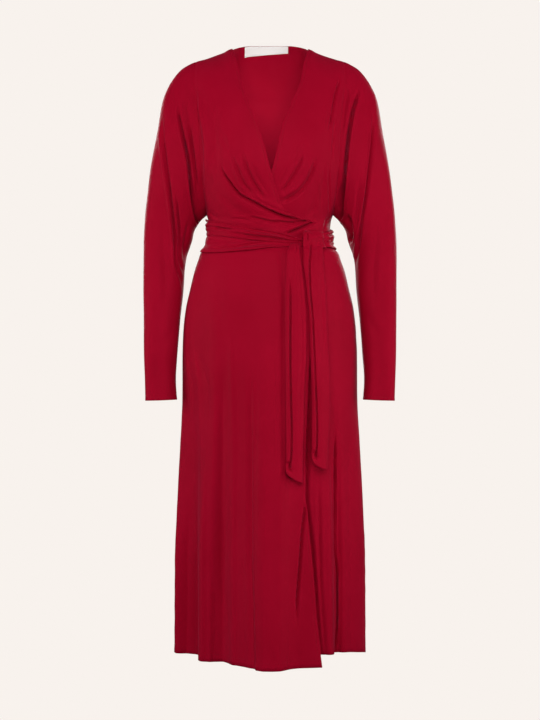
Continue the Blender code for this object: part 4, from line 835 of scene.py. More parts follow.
def jersey(name, deep, light, wale=0.7, course=0.55):
    """Smooth viscose jersey: uneven dye, a fine knit of wales and courses, a soft low sheen."""
    mat = bpy.data.materials.new(name)
    mat.use_nodes = True
    tree = mat.node_tree
    bsdf = tree.nodes["Principled BSDF"]
    place = node(tree, "ShaderNodeTexCoord", (-1500, 200))
    # slow unevenness of the dye, and the speckle of the yarn
    slow = node(tree, "ShaderNodeTexNoise", (-1200, 300), Scale=7.0, Detail=3.0, Roughness=0.55)
    yarn = node(tree, "ShaderNodeTexNoise", (-1200, 60), Scale=950.0, Detail=2.0, Roughness=0.6)
    tree.links.new(place.outputs["Object"], slow.inputs["Vector"])
    tree.links.new(place.outputs["Object"], yarn.inputs["Vector"])
    both = math_node(tree, "MULTIPLY_ADD", yarn.outputs["Fac"], 0.35, (-950, 150))
    both.node.inputs[2].default_value = 0.0
    both = math_node(tree, "ADD", both, slow.outputs["Fac"], (-780, 220))
    ramp = node(tree, "ShaderNodeValToRGB", (-600, 260))
    ramp.color_ramp.elements[0].position, ramp.color_ramp.elements[0].color = 0.45, (*deep, 1)
    ramp.color_ramp.elements[1].position, ramp.color_ramp.elements[1].color = 0.92, (*light, 1)
    tree.links.new(both, ramp.inputs["Fac"])
    tree.links.new(ramp.outputs["Color"], bsdf.inputs["Base Color"])
    # the knit: columns of small V-shaped loops, from the cloth's own lengths
    uv = node(tree, "ShaderNodeUVMap", (-1500, -300), uv_map="cloth")
    split = node(tree, "ShaderNodeSeparateXYZ", (-1320, -300))
    tree.links.new(uv.outputs["UV"], split.inputs[0])
    u = math_node(tree, "MULTIPLY", split.outputs["X"], 1000 * math.pi / wale, (-1150, -240))
    column = math_node(tree, "ABSOLUTE", math_node(tree, "SINE", u, None, (-1000, -240)), None, (-860, -240))
    v = math_node(tree, "MULTIPLY", split.outputs["Y"], 1000 * 2 * math.pi / course, (-1150, -420))
    slanted = math_node(tree, "ADD", v, math_node(tree, "MULTIPLY", column, 2.4, (-860, -360)), (-700, -400))
    row = math_node(tree, "SINE", slanted, None, (-560, -400))
    loops = math_node(tree, "ADD", column, math_node(tree, "MULTIPLY", row, 0.35, (-420, -400)), (-300, -320))
    loops = math_node(tree, "ADD", loops, math_node(tree, "MULTIPLY", yarn.outputs["Fac"], 0.5, (-420, -160)), (-200, -260))
    bump = node(tree, "ShaderNodeBump", (-60, -260), Strength=0.22, Distance=0.0002)
    tree.links.new(loops, bump.inputs["Height"])
    # a faint crumple of the cloth itself
    soft = node(tree, "ShaderNodeTexNoise", (-1200, -620), Scale=34.0, Detail=3.0, Roughness=0.5)
    tree.links.new(place.outputs["Object"], soft.inputs["Vector"])
    crumple = node(tree, "ShaderNodeBump", (80, -420), Strength=0.10, Distance=0.004)
    tree.links.new(soft.outputs["Fac"], crumple.inputs["Height"])
    tree.links.new(bump.outputs["Normal"], crumple.inputs["Normal"])
    tree.links.new(crumple.outputs["Normal"], bsdf.inputs["Normal"])
    rough = node(tree, "ShaderNodeMapRange", (-300, 40))
    rough.inputs["To Min"].default_value, rough.inputs["To Max"].default_value = 0.46, 0.60
    tree.links.new(slow.outputs["Fac"], rough.inputs["Value"])
    tree.links.new(rough.outputs["Result"], bsdf.inputs["Roughness"])
    bsdf.inputs["Metallic"].default_value = 0.0
    bsdf.inputs["Specular IOR Level"].default_value = SPECULAR
    bsdf.inputs["Specular Tint"].default_value = (1.0, 0.30, 0.42, 1.0)
    bsdf.inputs["Sheen Weight"].default_value = SHEEN
    bsdf.inputs["Sheen Roughness"].default_value = 0.45
    bsdf.inputs["Sheen Tint"].default_value = (0.95, 0.10, 0.22, 1.0)
    return mat


def thread(name, colour):
    """Sewing thread with its twist."""
    mat = bpy.data.materials.new(name)
    mat.use_nodes = True
    tree = mat.node_tree
    bsdf = tree.nodes["Principled BSDF"]
    place = node(tree, "ShaderNodeTexCoord", (-900, 0))
    twist = node(tree, "ShaderNodeTexNoise", (-700, 0), Scale=1600.0, Detail=1.0)
    tree.links.new(place.outputs["Object"], twist.inputs["Vector"])
    ramp = node(tree, "ShaderNodeValToRGB", (-450, 0))
    ramp.color_ramp.elements[0].color = (*(0.8 * c for c in colour), 1)
    ramp.color_ramp.elements[1].color = (*(min(1.0, 1.15 * c) for c in colour), 1)
    tree.links.new(twist.outputs["Fac"], ramp.inputs["Fac"])
    tree.links.new(ramp.outputs["Color"], bsdf.inputs["Base Color"])
    bump = node(tree, "ShaderNodeBump", (-200, -200), Strength=0.4, Distance=0.0001)
    tree.links.new(twist.outputs["Fac"], bump.inputs["Height"])
    tree.links.new(bump.outputs["Normal"], bsdf.inputs["Normal"])
    bsdf.inputs["Roughness"].default_value = 0.55
    bsdf.inputs["Specular IOR Level"].default_value = 0.2
    return mat


def woven_label(name):
    """White satin label tape: fine warp lines, no marks."""
    mat = bpy.data.materials.new(name)
    mat.use_nodes = True
    tree = mat.node_tree
    bsdf = tree.nodes["Principled BSDF"]
    uv = node(tree, "ShaderNodeUVMap", (-1100, 0), uv_map="cloth")
    split = node(tree, "ShaderNodeSeparateXYZ", (-920, 0))
    tree.links.new(uv.outputs["UV"], split.inputs[0])
    a = math_node(tree, "SINE", math_node(tree, "MULTIPLY", split.outputs["X"], 2 * math.pi * 2600, (-760, 60)), None, (-600, 60))
    b = math_node(tree, "SINE", math_node(tree, "MULTIPLY", split.outputs["Y"], 2 * math.pi * 1500, (-760, -120)), None, (-600, -120))
    weave = math_node(tree, "MULTIPLY", a, b, (-440, 0))
    ramp = node(tree, "ShaderNodeValToRGB", (-260, 120))
    ramp.color_ramp.elements[0].color = (0.90, 0.865, 0.83, 1)
    ramp.color_ramp.elements[1].color = (0.97, 0.94, 0.91, 1)
    half = math_node(tree, "MULTIPLY_ADD", weave, 0.5, (-360, 160))
    half.node.inputs[2].default_value = 0.5
    tree.links.new(half, ramp.inputs["Fac"])
    tree.links.new(ramp.outputs["Color"], bsdf.inputs["Base Color"])
    bump = node(tree, "ShaderNodeBump", (-160, -200), Strength=0.3, Distance=0.0001)
    tree.links.new(weave, bump.inputs["Height"])
    tree.links.new(bump.outputs["Normal"], bsdf.inputs["Normal"])
    bsdf.inputs["Roughness"].default_value = 0.5
    bsdf.inputs["Specular IOR Level"].default_value = 0.3
    return mat


# ---------------------------------------------------------------- bodice
CENTRE = np.array((0.0, 0.0, -200.0))


def near_edge(p, edge, wide):
    """1 at one edge of a net and 0 further from it than wide."""
    if edge in ("top", "bottom"):
        length = run(p, 0)
        d = length if edge == "top" else length[-1:] - length
    else:
        length = run(p, 1)
        d = length if edge == "left" else length[:, -1:] - length
    return 1 - smooth(d / wide)


def seam_dip(p, edges, depth=0.7, wide=3.4):
    """The cloth drawn in along its sewn edges, and full just beside them."""
    total = np.zeros(p.shape[:2])
    for e in edges:
        if e in ("top", "bottom"):
            length = run(p, 0)
            d = length if e == "top" else length[-1:] - length
        else:
            length = run(p, 1)
            d = length if e == "left" else length[:, -1:] - length
        uneven = 0.75 + 0.6 * ripple(p[..., 2], p[..., 0], 21, 55)
        total += uneven * (-depth * np.exp(-((d / wide) ** 1.6)) + 0.35 * depth * np.exp(-(((d - 2.4 * wide) / wide) ** 2)))
    return total


def front_net(edge_rows, side, top_layer, rows, cols):
    """One front as a fine net between its armhole, its shoulder seam, its free edge and the waist."""
    edge = by_length(edge_rows)
    u = np.linspace(0, 1, cols + 1)
    v = np.linspace(0, 1, rows + 1)
    left_z = side_line(v)
    left = np.stack([-edge_angle(left_z), left_z], -1)
    out = LAYER if top_layer else 0.0
    foot = BODICE_ROWS - len(EDGE_FOOT_Z)
    row = v * BODICE_ROWS
    reach = np.clip(row / foot, 0, 1)
    ex, ez = edge("across", reach), edge("z", reach)
    end = float(edge("z", 1.0))
    ez = np.where(row > foot, np.interp(row, (foot, *range(foot + 1, BODICE_ROWS + 1)), (end, *EDGE_FOOT_Z)), ez)
    right = np.stack([np.arcsin(np.clip(ex / (torso("half_width", ez) + out), -1, 1)), ez], -1)
    tx = -SHOULDER_TIP_X + (SHOULDER_TIP_X - NECK_POINT_X) * u
    tz = shoulder("front_top", np.abs(tx))
    top = np.stack([np.arcsin(tx / torso("half_width", tz)), tz], -1)
    bottom = left[-1] + (right[-1] - left[-1]) * u[:, None]
    top[0], top[-1] = left[0], right[0]
    U, V = u[None, :, None], v[:, None, None]
    net = (
        (1 - U) * left[:, None] + U * right[:, None] + (1 - V) * top[None] + V * bottom[None]
        - (1 - U) * (1 - V) * left[0] - U * (1 - V) * right[0] - (1 - U) * V * left[-1] - U * V * right[-1]
    )
    angle, z = net[..., 0], net[..., 1]
    lift = out * smooth((angle + edge_angle(z)) / 0.32)
    p = bodice_point(angle, z, out=lift)
    # the free edge lies closer to what is under it
    if top_layer:
        n = facing(normals(p), p, CENTRE)
        down = near_edge(p, "right", 16.0) * smooth((-20 - z) / 60)
        p = p - n * (0.9 * (LAYER - 2.0)) * down[..., None]
    p[..., 0] *= -side
    return p


def seam_out(p, n, side, way):
    """Outward directions of a bodice net, with the armhole's shared ones eased in at its side."""
    z = p[:, 0, 2]
    turn = np.arccos(np.clip(1 - 2 * (SHOULDER_TIP_Z - z) / (SHOULDER_TIP_Z - UNDERARM_Z), -1, 1))
    edge = armhole_out(turn, side, way)
    below = z < UNDERARM_Z
    edge[below] = (side, 0.0, 0.0)
    w = near_edge(p, "left", 12.0)[..., None]
    return unit(n * (1 - w) + edge[:, None] * w)


def sash_top(p):
    """Height of the sash's or the knot's upper edge at each point of the front or back."""
    front = p[..., 1] < 0
    wide = torso("half_width", p[..., 2])
    angle = np.degrees(np.arcsin(np.clip(p[..., 0] / wide, -1, 1)))
    angle = np.where(front, np.where(angle > 52, angle - 360, angle), -180 - angle)
    top = sash("top", angle)
    return np.where(front & (np.degrees(np.arcsin(np.clip(p[..., 0] / wide, -1, 1))) > KNOT_ANGLES[0] + 2) & (angle > -250), KNOT_Z[1] - 6, top)


def under_top_panel(p):
    """1 where the lower front lies under the upper one, eased over its free edge."""
    line = by_length(TOP_EDGE)
    s = np.linspace(0, 1, 80)
    ex, ez = line("across", s), line("z", s)
    # the upper front covers what is picture-left of its edge, and all that is below it
    x_edge = np.interp(-p[..., 2], -ez, ex)
    return smooth((x_edge - 3 - p[..., 0]) / 12)


def build_front(name, edge_rows, side, top_layer, creases, mat, rows, cols):
    p = front_net(edge_rows, side, top_layer, rows, cols)
    p[..., 2] -= 2.4 * np.exp(-(((np.abs(p[..., 0]) - NECK_POINT_X) / 9) ** 2)) * (1 - smooth(run(p, 0) / 46))
    n = facing(normals(p), p, CENTRE)
    n = seam_out(p, n, side, -1.0)
    w = near_edge(p, "top", 10.0)[..., None]
    s = np.sign(p[0, :, 0])[None, :, None]
    n = unit(n * (1 - w) + unit(np.array((0.3, 0.0, 1.0))) * np.concatenate([s, 0 * s, 0 * s + 1], -1) * w)
    free = smooth((p[..., 2] - sash_top(p) - 1.0) / 7) * (1 - near_edge(p, "top", 14.0)) * (1 - near_edge(p, "left", 9.0))
    h = crease_height(p[..., 0], p[..., 2], creases)
    h = h + 0.5 * ripple(p[..., 0], p[..., 2], 3 if top_layer else 4, 46)
    if not top_layer:
        covered = under_top_panel(p)
        top_h = crease_height(p[..., 0], p[..., 2], "front_top")
        h = h * (1 - covered) + covered * (np.minimum(top_h, 0) - 1.2)
    h = h * free + seam_dip(p, ("left", "top")) * smooth((p[..., 2] - WAIST_Z) / 30)
    # a turned and stitched free edge: a little thicker, with the stitches drawn in
    length = run(p, 1)
    d = length[:, -1:] - length
    h = h + 0.25 * np.exp(-((d / 3.2) ** 4)) - 0.35 * np.exp(-(((d - 5.0) / 0.9) ** 2))
    p = p + n * h[..., None]
    p = draw_in(p, ("top", "left", "bottom"))
    obj = shell(name, p, n, mat, seam=("top", "left", "bottom"))
    sides = at_inset(p, n, "right", 5.0, 0.01, 0.86)
    stitch_line(*sides)
    return obj, p, n


def back_net(rows, cols):
    x_top = np.linspace(-SHOULDER_TIP_X, SHOULDER_TIP_X, cols + 1)
    tip = float(edge_angle(SHOULDER_TIP_Z))
    u = np.arcsin(x_top / torso("half_width", 0.0)) / tip
    v = np.linspace(0, 1, rows + 1)
    z_side = side_line(v)
    z_top = shoulder("back_top", np.clip(np.abs(x_top), 0, SHOULDER_TIP_X))
    share = (z_side - z_side[0]) / (z_side[-1] - z_side[0])
    z = z_top[None, :] + share[:, None] * (WAIST_Z - z_top[None, :])
    angle = u[None, :] * edge_angle(z)
    return bodice_point(angle, z, back=True)


def build_back(name, mat, rows, cols):
    p = back_net(rows, cols)
    # its shoulder edges lie on the fronts'
    far = np.abs(p[0, :, 0])
    apart = (p[0, :, 1] - 9.72 + 0.0532 * (far - 80)) * smooth((far - NECK_POINT_X - 4) / 8)
    p[..., 1] -= apart * (1 - smooth(run(p, 0) / 24))
    sunk = 2.4 * np.exp(-(((far - NECK_POINT_X) / 9) ** 2)) * smooth((far - NECK_POINT_X + 5) / 5)
    p[..., 2] -= sunk * (1 - smooth(run(p, 0) / 18))
    n = facing(normals(p), p, CENTRE)
    n = seam_out(p, n, -1.0, 1.0)
    n = seam_out(p[:, ::-1], n[:, ::-1], 1.0, 1.0)[:, ::-1]
    on_shoulder = smooth((np.abs(p[0, :, 0]) - NECK_POINT_X + 8) / 8)[None, :, None]
    w = near_edge(p, "top", 10.0)[..., None] * on_shoulder
    s = np.sign(p[0, :, 0])[None, :, None]
    n = unit(n * (1 - w) + unit(np.array((0.3, 0.0, 1.0))) * np.concatenate([s, 0 * s, 0 * s + 1], -1) * w)
    free = smooth((p[..., 2] - sash_top(p) - 1.0) / 7)
    edge = (1 - near_edge(p, "top", 16.0)) * (1 - near_edge(p, "left", 9.0)) * (1 - near_edge(p, "right", 9.0))
    h = (crease_height(p[..., 0], p[..., 2], "back") + 0.6 * ripple(p[..., 0], p[..., 2], 5, 52)) * free * edge
    h = h + seam_dip(p, ("left", "right")) * smooth((p[..., 2] - WAIST_Z) / 30)
    h = h + seam_dip(p, ("top",)) * on_shoulder[..., 0]
    d = run(p, 0)
    h = h + (1 - on_shoulder[..., 0]) * (0.25 * np.exp(-((d / 3.2) ** 4)) - 0.35 * np.exp(-(((d - 5.0) / 0.9) ** 2)))
    p = p + n * h[..., None]
    p = draw_in(p, ("left", "right", "bottom"))
    q = draw_in(p, ("top",))
    seam = np.abs(p[0, :, 0]) > NECK_POINT_X - 2
    p[0, seam] = q[0, seam]
    obj = shell(name, p, n, mat, seam=("top", "left", "right", "bottom"))
    stitch_line(*at_inset(p, n, "top", 5.0, 0.25, 0.75))
    return obj, p, n


# ---------------------------------------------------------------- sleeves
def sleeve_net(side, rings, turns):
    """Rings from the armhole to the cuff; turn 0 is the outer line and pi the inner one."""
    r = np.asarray(rings)[:, None]
    turn = np.asarray(turns)[None, :]
    share = (1 - np.cos(turn)) / 2
    ox, oz = sleeve("outer_x", r), sleeve("outer_z", r)
    ix, iz = sleeve("inner_x", r), sleeve("inner_z", r)
    front = np.sin(turn) > 0
    hz = armhole_z(turn)
    angle = edge_angle(hz)
    f, b = bodice_point(angle, hz), bodice_point(angle, hz, back=True)
    hole_y = np.where(np.abs(np.sin(turn)) < 1e-6, (f[..., 1] + b[..., 1]) / 2, np.where(front, f[..., 1], b[..., 1]))
    bow = armhole("x", hz) - (SHOULDER_TIP_X + (126.0 - SHOULDER_TIP_X) * share)
    own = smooth(r / 4.5)
    full = np.abs(np.sin(turn)) ** 0.85 * np.where(front, -1.0, 1.0)
    round_y = sleeve("middle_y", r) + sleeve("half_depth", r) * full
    x = ox + (ix - ox) * share + bow * (1 - own)
    z = oz + (iz - oz) * share
    y = hole_y * (1 - own) + round_y * own
    p = np.stack(np.broadcast_arrays(x, y, z), -1)
    p[..., 0] *= side
    return p


def build_sleeve(name, side, mat, rows=140, front=122, back=78):
    rings = 13.0 * np.linspace(0, 1, rows + 1) ** 1.12
    turns = np.concatenate([math.pi * np.arange(front) / front, math.pi + math.pi * np.arange(back) / back])
    p = sleeve_net(side, rings, turns)
    n = facing(normals(p, wrap=True), p, p.mean(1, keepdims=True))
    way = np.where(np.sin(turns) > 1e-9, -1.0, 1.0)
    w = (1 - smooth(rings / 0.5))[:, None, None]
    n = unit(n * (1 - w) + armhole_out(turns, side, way)[None] * w)
    start = smooth(rings / 0.5)[:, None]
    to_front = smooth(0.5 + np.sin(turns) / 0.24)[None, :] * np.ones((rows + 1, 1))
    which = "right" if side < 0 else "left"
    h = crease_height(p[..., 0], p[..., 2], f"sleeve_{which}_front") * to_front
    h = h + crease_height(p[..., 0], p[..., 2], f"sleeve_{which}_back") * (1 - to_front)
    h = h + 0.8 * ripple(turns[None, :] * 60, p[..., 2], 7 if side < 0 else 8, 70)
    # the hanging cloth is flatter in front than a plain tube
    outer = side * (p[..., 0] - p[..., 0].mean(1, keepdims=True)) > 0
    hangs = np.where(outer, smooth((rings[:, None] - 2.5) / 4), smooth((rings[:, None] - 6.8) / 3))
    h = h + 4.5 * np.sin(2 * turns)[None, :] ** 2 * (np.sin(turns) > 0)[None, :] * hangs
    h = h * start
    length = run(p, 0)
    uneven = 0.75 + 0.6 * ripple(p[..., 2], p[..., 0], 21, 55)
    h = h + uneven * (-0.7 * np.exp(-((length / 3.4) ** 1.6)) + 0.25 * np.exp(-(((length - 8.2) / 3.4) ** 2)))
    d = length[-1:] - length
    h = h + 0.3 * np.exp(-((d / 4.5) ** 4)) - 0.45 * np.exp(-(((d - 6.5) / 1.3) ** 2))
    p = p + n * h[..., None]
    p = draw_in(p, ("top",))
    obj = shell(name, p, n, mat, wrap=True, seam=("top",), tuck=0.9)
    a, b = at_inset(p, n, "bottom", 6.5)
    stitch_line(a, b, closed=True)
    return obj, p, n


# ---------------------------------------------------------------- skirt
def skirt_point(angle, z, part, out=0.0):
    """A point of the skirt by its angle at the hip and its height; folds grow towards the hem."""
    a = np.radians(angle)
    wide, deep = skirt("half_width", z), skirt("back" if part == "back" else "front", z)
    grow = smooth((-430 - z) / (-430 - HEM_Z)) ** 0.9
    wide_hem, deep_hem = skirt("half_width", HEM_Z), skirt("back" if part == "back" else "front", HEM_Z)
    hx = hem[part]("x", angle) * wide / wide_hem
    hy = hem[part]("y", angle) * deep / deep_hem
    x = (wide + out * np.abs(np.sin(a))) * np.sin(a) * (1 - grow) + hx * grow
    y = -(deep + out) * np.cos(a) * (1 - grow) + hy * grow
    return np.stack(np.broadcast_arrays(x, y, z), -1)


def opening_angle(z):
    """Angle at which the upper skirt front reaches its free edge, for each height."""
    trial = np.linspace(10, 38, 113)
    found = []
    for h in np.atleast_1d(z):
        x = skirt_point(trial, np.full_like(trial, h), "top", LAYER)[:, 0]
        found.append(np.interp(opening("x", h), x, trial))
    return np.array(found)


def skirt_net(part, zs, cols):
    t = np.linspace(0, 1, cols + 1)
    if part == "top":
        end = opening_angle(zs)[:, None]
        angle = -90 + (end + 90) * t[None, :]
        lift = LAYER * smooth((angle + 90) / 14)
    elif part == "under":
        angle = UNDER_SKIRT_HIDDEN_ANGLE + (90 - UNDER_SKIRT_HIDDEN_ANGLE) * t[None, :] + 0 * zs[:, None]
        lift = 0.0
    else:
        angle = 90 + 180 * t[None, :] + 0 * zs[:, None]
        lift = 0.0
    p = skirt_point(angle, zs[:, None] + 0 * angle, part, lift)
    if part == "under":
        p[..., 2] = WAIST_Z + (p[..., 2] - WAIST_Z) * (1 - under_rise("rise", angle) / (WAIST_Z - HEM_Z))
    return p


def build_skirt(name, part, mat, rows, cols, seams):
    s = np.linspace(0, 1, rows + 1)
    zs = WAIST_Z + (HEM_Z - WAIST_Z) * (0.35 * s**2 + 0.65 * s)
    p = skirt_net(part, zs, cols)
    centre = p * np.array((0.0, 0.0, 1.0))
    n = facing(normals(p), p, centre)
    n[..., 2] *= 0.3
    n = unit(n)
    for edge, side in seams:
        w = near_edge(p, edge, 10.0)[..., None]
        n = unit(n * (1 - w) + np.array((side, 0.0, 0.0)) * w)
    creases = "skirt_" + part
    h = crease_height(p[..., 0], p[..., 2], creases)
    h = h + 0.7 * ripple(p[..., 0], p[..., 2], {"top": 11, "under": 12, "back": 13}[part], 60, 5.0) * smooth((-420 - p[..., 2]) / 200)
    if part == "under":
        x_edge = opening("x", p[..., 2])
        covered = smooth((x_edge - 2 - p[..., 0]) / 10)
        top_h = crease_height(p[..., 0], p[..., 2], "skirt_top")
        h = h * (1 - covered) + covered * (np.minimum(top_h, 0) - 1.0)
    for edge, _ in seams:
        h = h * (1 - near_edge(p, edge, 8.0))
    h = h * smooth((WAIST_Z - 6 - p[..., 2]) / 14)
    h = h + seam_dip(p, [e for e, _ in seams], 1.0, 3.5) * smooth((WAIST_Z - 10 - p[..., 2]) / 20)
    d = run(p, 0)
    d = d[-1:] - d
    h = h + 0.3 * np.exp(-((d / 11.0) ** 6)) - 0.45 * np.exp(-(((d - 14.0) / 2.5) ** 2))
    if part == "top":
        length = run(p, 1)
        e = length[:, -1:] - length
        h = h + 0.25 * np.exp(-((e / 3.2) ** 4)) - 0.35 * np.exp(-(((e - 5.0) / 0.9) ** 2))
    p = p + n * h[..., None] * np.array((1.0, 1.0, 0.0))
    p[0, :, 2] = WAIST_Z - SEAM_GAP / 2
    for edge, side in seams:
        col, inner = (0, 1) if edge == "left" else (-1, -2)
        step = p[:, inner, 1] - p[:, col, 1]
        p[:, col, 1] += np.sign(step) * SEAM_GAP / 2
    obj = shell(name, p, n, mat, seam=["top", *[e for e, _ in seams]])
    stitch_line(*at_inset(p, n, "bottom", 14.0), length=2.6, gap=1.0)
    if part == "top":
        stitch_line(*at_inset(p, n, "right", 5.0, 0.02, 0.985))
    return obj, p, n


# ---------------------------------------------------------------- sash
def waist_ring(angle, z, out):
    """A point outside the waist: the wider of bodice and skirt there, moved out."""
    a = np.radians(angle)
    back = np.cos(a) < 0
    wide = np.where(z > WAIST_Z, torso("half_width", z), skirt("half_width", z))
    front = np.where(z > WAIST_Z, torso("front", z), skirt("front", z))
    rear = np.where(z > WAIST_Z, torso("back", z), skirt("back", z))
    deep = np.where(back, rear, front)
    x = (wide + out) * np.sin(a)
    y = -(deep + out) * np.cos(a)
    return np.stack(np.broadcast_arrays(x, y, z), -1)


def sash_lift(angle):
    """How far the sash is from the bodice's own form: both fronts lie under it in front."""
    from_front = np.where(angle < -180, angle + 360, angle)
    return 1.4 + (LAYER - 1.4) * smooth((from_front + 88) / 16) * smooth((72 - from_front) / 9)


def build_wrap(name, which, mat, rows=24, cols=340):
    """One turn of the sash, scrunched into soft tubes that run into the knot."""
    angle = np.linspace(SASH_ANGLES[0], SASH_ANGLES[1], cols + 1)[None, :]
    high = sash("top", angle) if which == "upper" else sash("split", angle) - 0.3
    low = sash("split", angle) + 0.3 if which == "upper" else sash("bottom", angle)
    puff = sash(which + "_puff", angle)
    t = np.linspace(0, 1, rows + 1)[:, None]
    z = high + (low - high) * t
    swell = np.sin(math.pi * (0.03 + 0.94 * t)) ** 0.55
    h = crease_height(angle * 2.0, z, "sash_" + which, 2.0)
    keep = smooth(np.minimum(t, 1 - t) / 0.12 + 0.15) * (0.5 + 0.5 * np.abs(np.cos(np.radians(angle))))
    out = sash_lift(angle) + SASH_CLEAR + WALL + 0.6 + np.maximum(puff * (0.1 + 0.9 * swell) + h * keep, 0.0)
    p = waist_ring(angle + 0 * t, z, out)
    n = facing(normals(p), p, p * np.array((0.0, 0.0, 1.0)))
    n[..., 2] *= 0.4
    return shell(name, p, unit(n), mat, wall=1.2), p, unit(n)


# hanging ends of the sash: left and right edge, and how far in front of what is behind it
TAIL_INNER = (
    (-394, 40, 58, 4.5),
    (-403, 36, 57.5, 6.5),
    (-411, 33.5, 57.5, 7),
    (-430, 31.5, 60, 6.5),
    (-454, 31, 62.5, 6),
    (-477, 30, 65.8, 5.5),
    (-500, 29.7, 68, 5.2),
    (-529, 29.5, 69.5, 5),
    (-560, 29.5, 70, 5),
    (-610, 30, 69.5, 5),
    (-650, 30.5, 67, 5),
    (-700, 30.5, 65, 5),
    (-760, 31, 64, 5),
    (-800, 31, 62.5, 5.5),
    (-853, 31, 62, 6),
)
TAIL_OUTER = (
    (-368, 66.5, 100, 3.2),
    (-371, 65.5, 100.5, 10),
    (-377, 64.8, 101, 17),
    (-386, 64.5, 101.6, 20),
    (-394, 64.3, 102, 18),
    (-402, 64.3, 103, 12.5),
    (-415, 64.4, 103.3, 10.5),
    (-430, 64.4, 103.6, 10),
    (-454, 67, 105.6, 9.5),
    (-477, 70, 107.8, 9),
    (-500, 72, 108.6, 8.5),
    (-529, 74.5, 109.5, 8.2),
    (-560, 76, 110.8, 8),
    (-601, 77, 112.7, 8),
    (-664, 79.5, 115.4, 8),
    (-700, 80, 116.3, 8),
    (-736, 80.1, 115.2, 8),
    (-775, 80.1, 112.2, 8.5),
    (-829, 81, 109.7, 9),
)
# how much higher than its lowest point each tail's cut end is, by the share across
TAIL_END_COLUMNS = ("share", "inner", "outer")
TAIL_END = (
    (0.0, 19, 17),
    (0.1, 15, 13),
    (0.22, 12, 9.5),
    (0.4, 8, 6),
    (0.7, 3, 2),
    (1.0, 0, 0),
)
CREASES["tail_inner"] = (
    (((38, -452), (39.1, -528), (38.7, -576), (38.9, -628), (40.1, -700), (41.4, -761), (40.5, -800), (38, -826)), 5.5, 1.5, 1.9, 1.0, 1.2, 0.16, 0.0),
    (((52, -400), (55, -450), (60, -520), (61, -600), (57, -690), (56, -780)), 1.0, 3.0, 3.0, 0.4, 0.4, 0.15, 0.4),
    (((34, -812), (37, -826), (40, -836)), 6.0, 3.6, 3.6, 0.0, 0.0, 0.2, 0.2),
    (((50, -398), (50.5, -404), (51, -416)), 2.2, 1.4, 1.6, 0.6, 0.6, 0.2, 0.5),
)
CREASES["tail_outer"] = (
    (((78.9, -380), (78.8, -395), (78.6, -410), (76.6, -430), (76.1, -448), (77.8, -494), (80.9, -528), (83.4, -576), (86, -637), (88.5, -700), (89.8, -750), (89.3, -786), (87.4, -806)), 5.0, 1.4, 1.7, 0.9, 1.1, 0.08, 0.0),
    (((72.6, -374), (73, -382), (72.6, -392)), 2.6, 1.3, 1.5, 0.7, 0.7, 0.2, 0.3),
    (((98, -392), (99, -450), (101, -540), (103, -640)), 1.0, 3.0, 3.4, 0.3, 0.4, 0.3, 0.4),
    (((84, -792), (86, -804), (88, -813)), 6.0, 3.6, 3.6, 0.0, 0.0, 0.2, 0.2),
    (((90, -372), (92, -392), (92, -420), (93, -470)), 0.9, 3.0, 3.0, 0.3, 0.3, 0.2, 0.6),
)


def worn_front_y(x, z):
    """How far forward the upper cloth reaches at a place seen from the front."""
    below = z < WAIST_Z
    wide = np.where(below, skirt("half_width", z), torso("half_width", z))
    deep = np.where(below, skirt("front", z), torso("front", z))
    share = np.clip(x / wide, -0.98, 0.98)
    return -(deep + LAYER) * np.sqrt(1 - share**2)


def build_tail(name, rows_table, which, mat, rows, cols=40):
    tail = Track(rows_table, TAIL_COLUMNS, "z")
    ends = Track(TAIL_END, TAIL_END_COLUMNS, "share")
    top, foot = rows_table[0][0], rows_table[-1][0]
    s = np.linspace(0, 1, rows + 1)[:, None]
    near = s if which == "inner" else 0.55 * s + 0.45 * s**2
    t = np.linspace(0, 1, cols + 1)[None, :]
    z = top + (foot - top) * near + 0 * t
    left, right = tail("left", z), tail("right", z)
    x = left + (right - left) * t
    hang = smooth((-420 - z) / 120)
    belly = 1.8 * np.sin(math.pi * t) ** 0.7 + 0.9 * np.sin(2 * math.pi * t + z / 90.0) * hang
    edge = -2.2 * (np.exp(-((t / 0.06) ** 2)) + np.exp(-(((1 - t) / 0.06) ** 2)))
    h = crease_height(x, z, "tail_" + which)
    y = worn_front_y(x, z) - tail("clear", z) - belly - edge * 0.6 - h
    lift = ends(which, t) * smooth((near - 0.93) / 0.07) ** 1.5
    p = np.stack(np.broadcast_arrays(x, y, z + lift), -1)
    n = normals(p)
    if n[..., 1].sum() > 0:
        n = -n
    obj = shell(name, p, n, mat, wall=1.6)
    stitch_line(*at_inset(p, n, "bottom", 4.0, 0.03, 0.97), length=2.0, gap=0.8)
    return obj, p, n


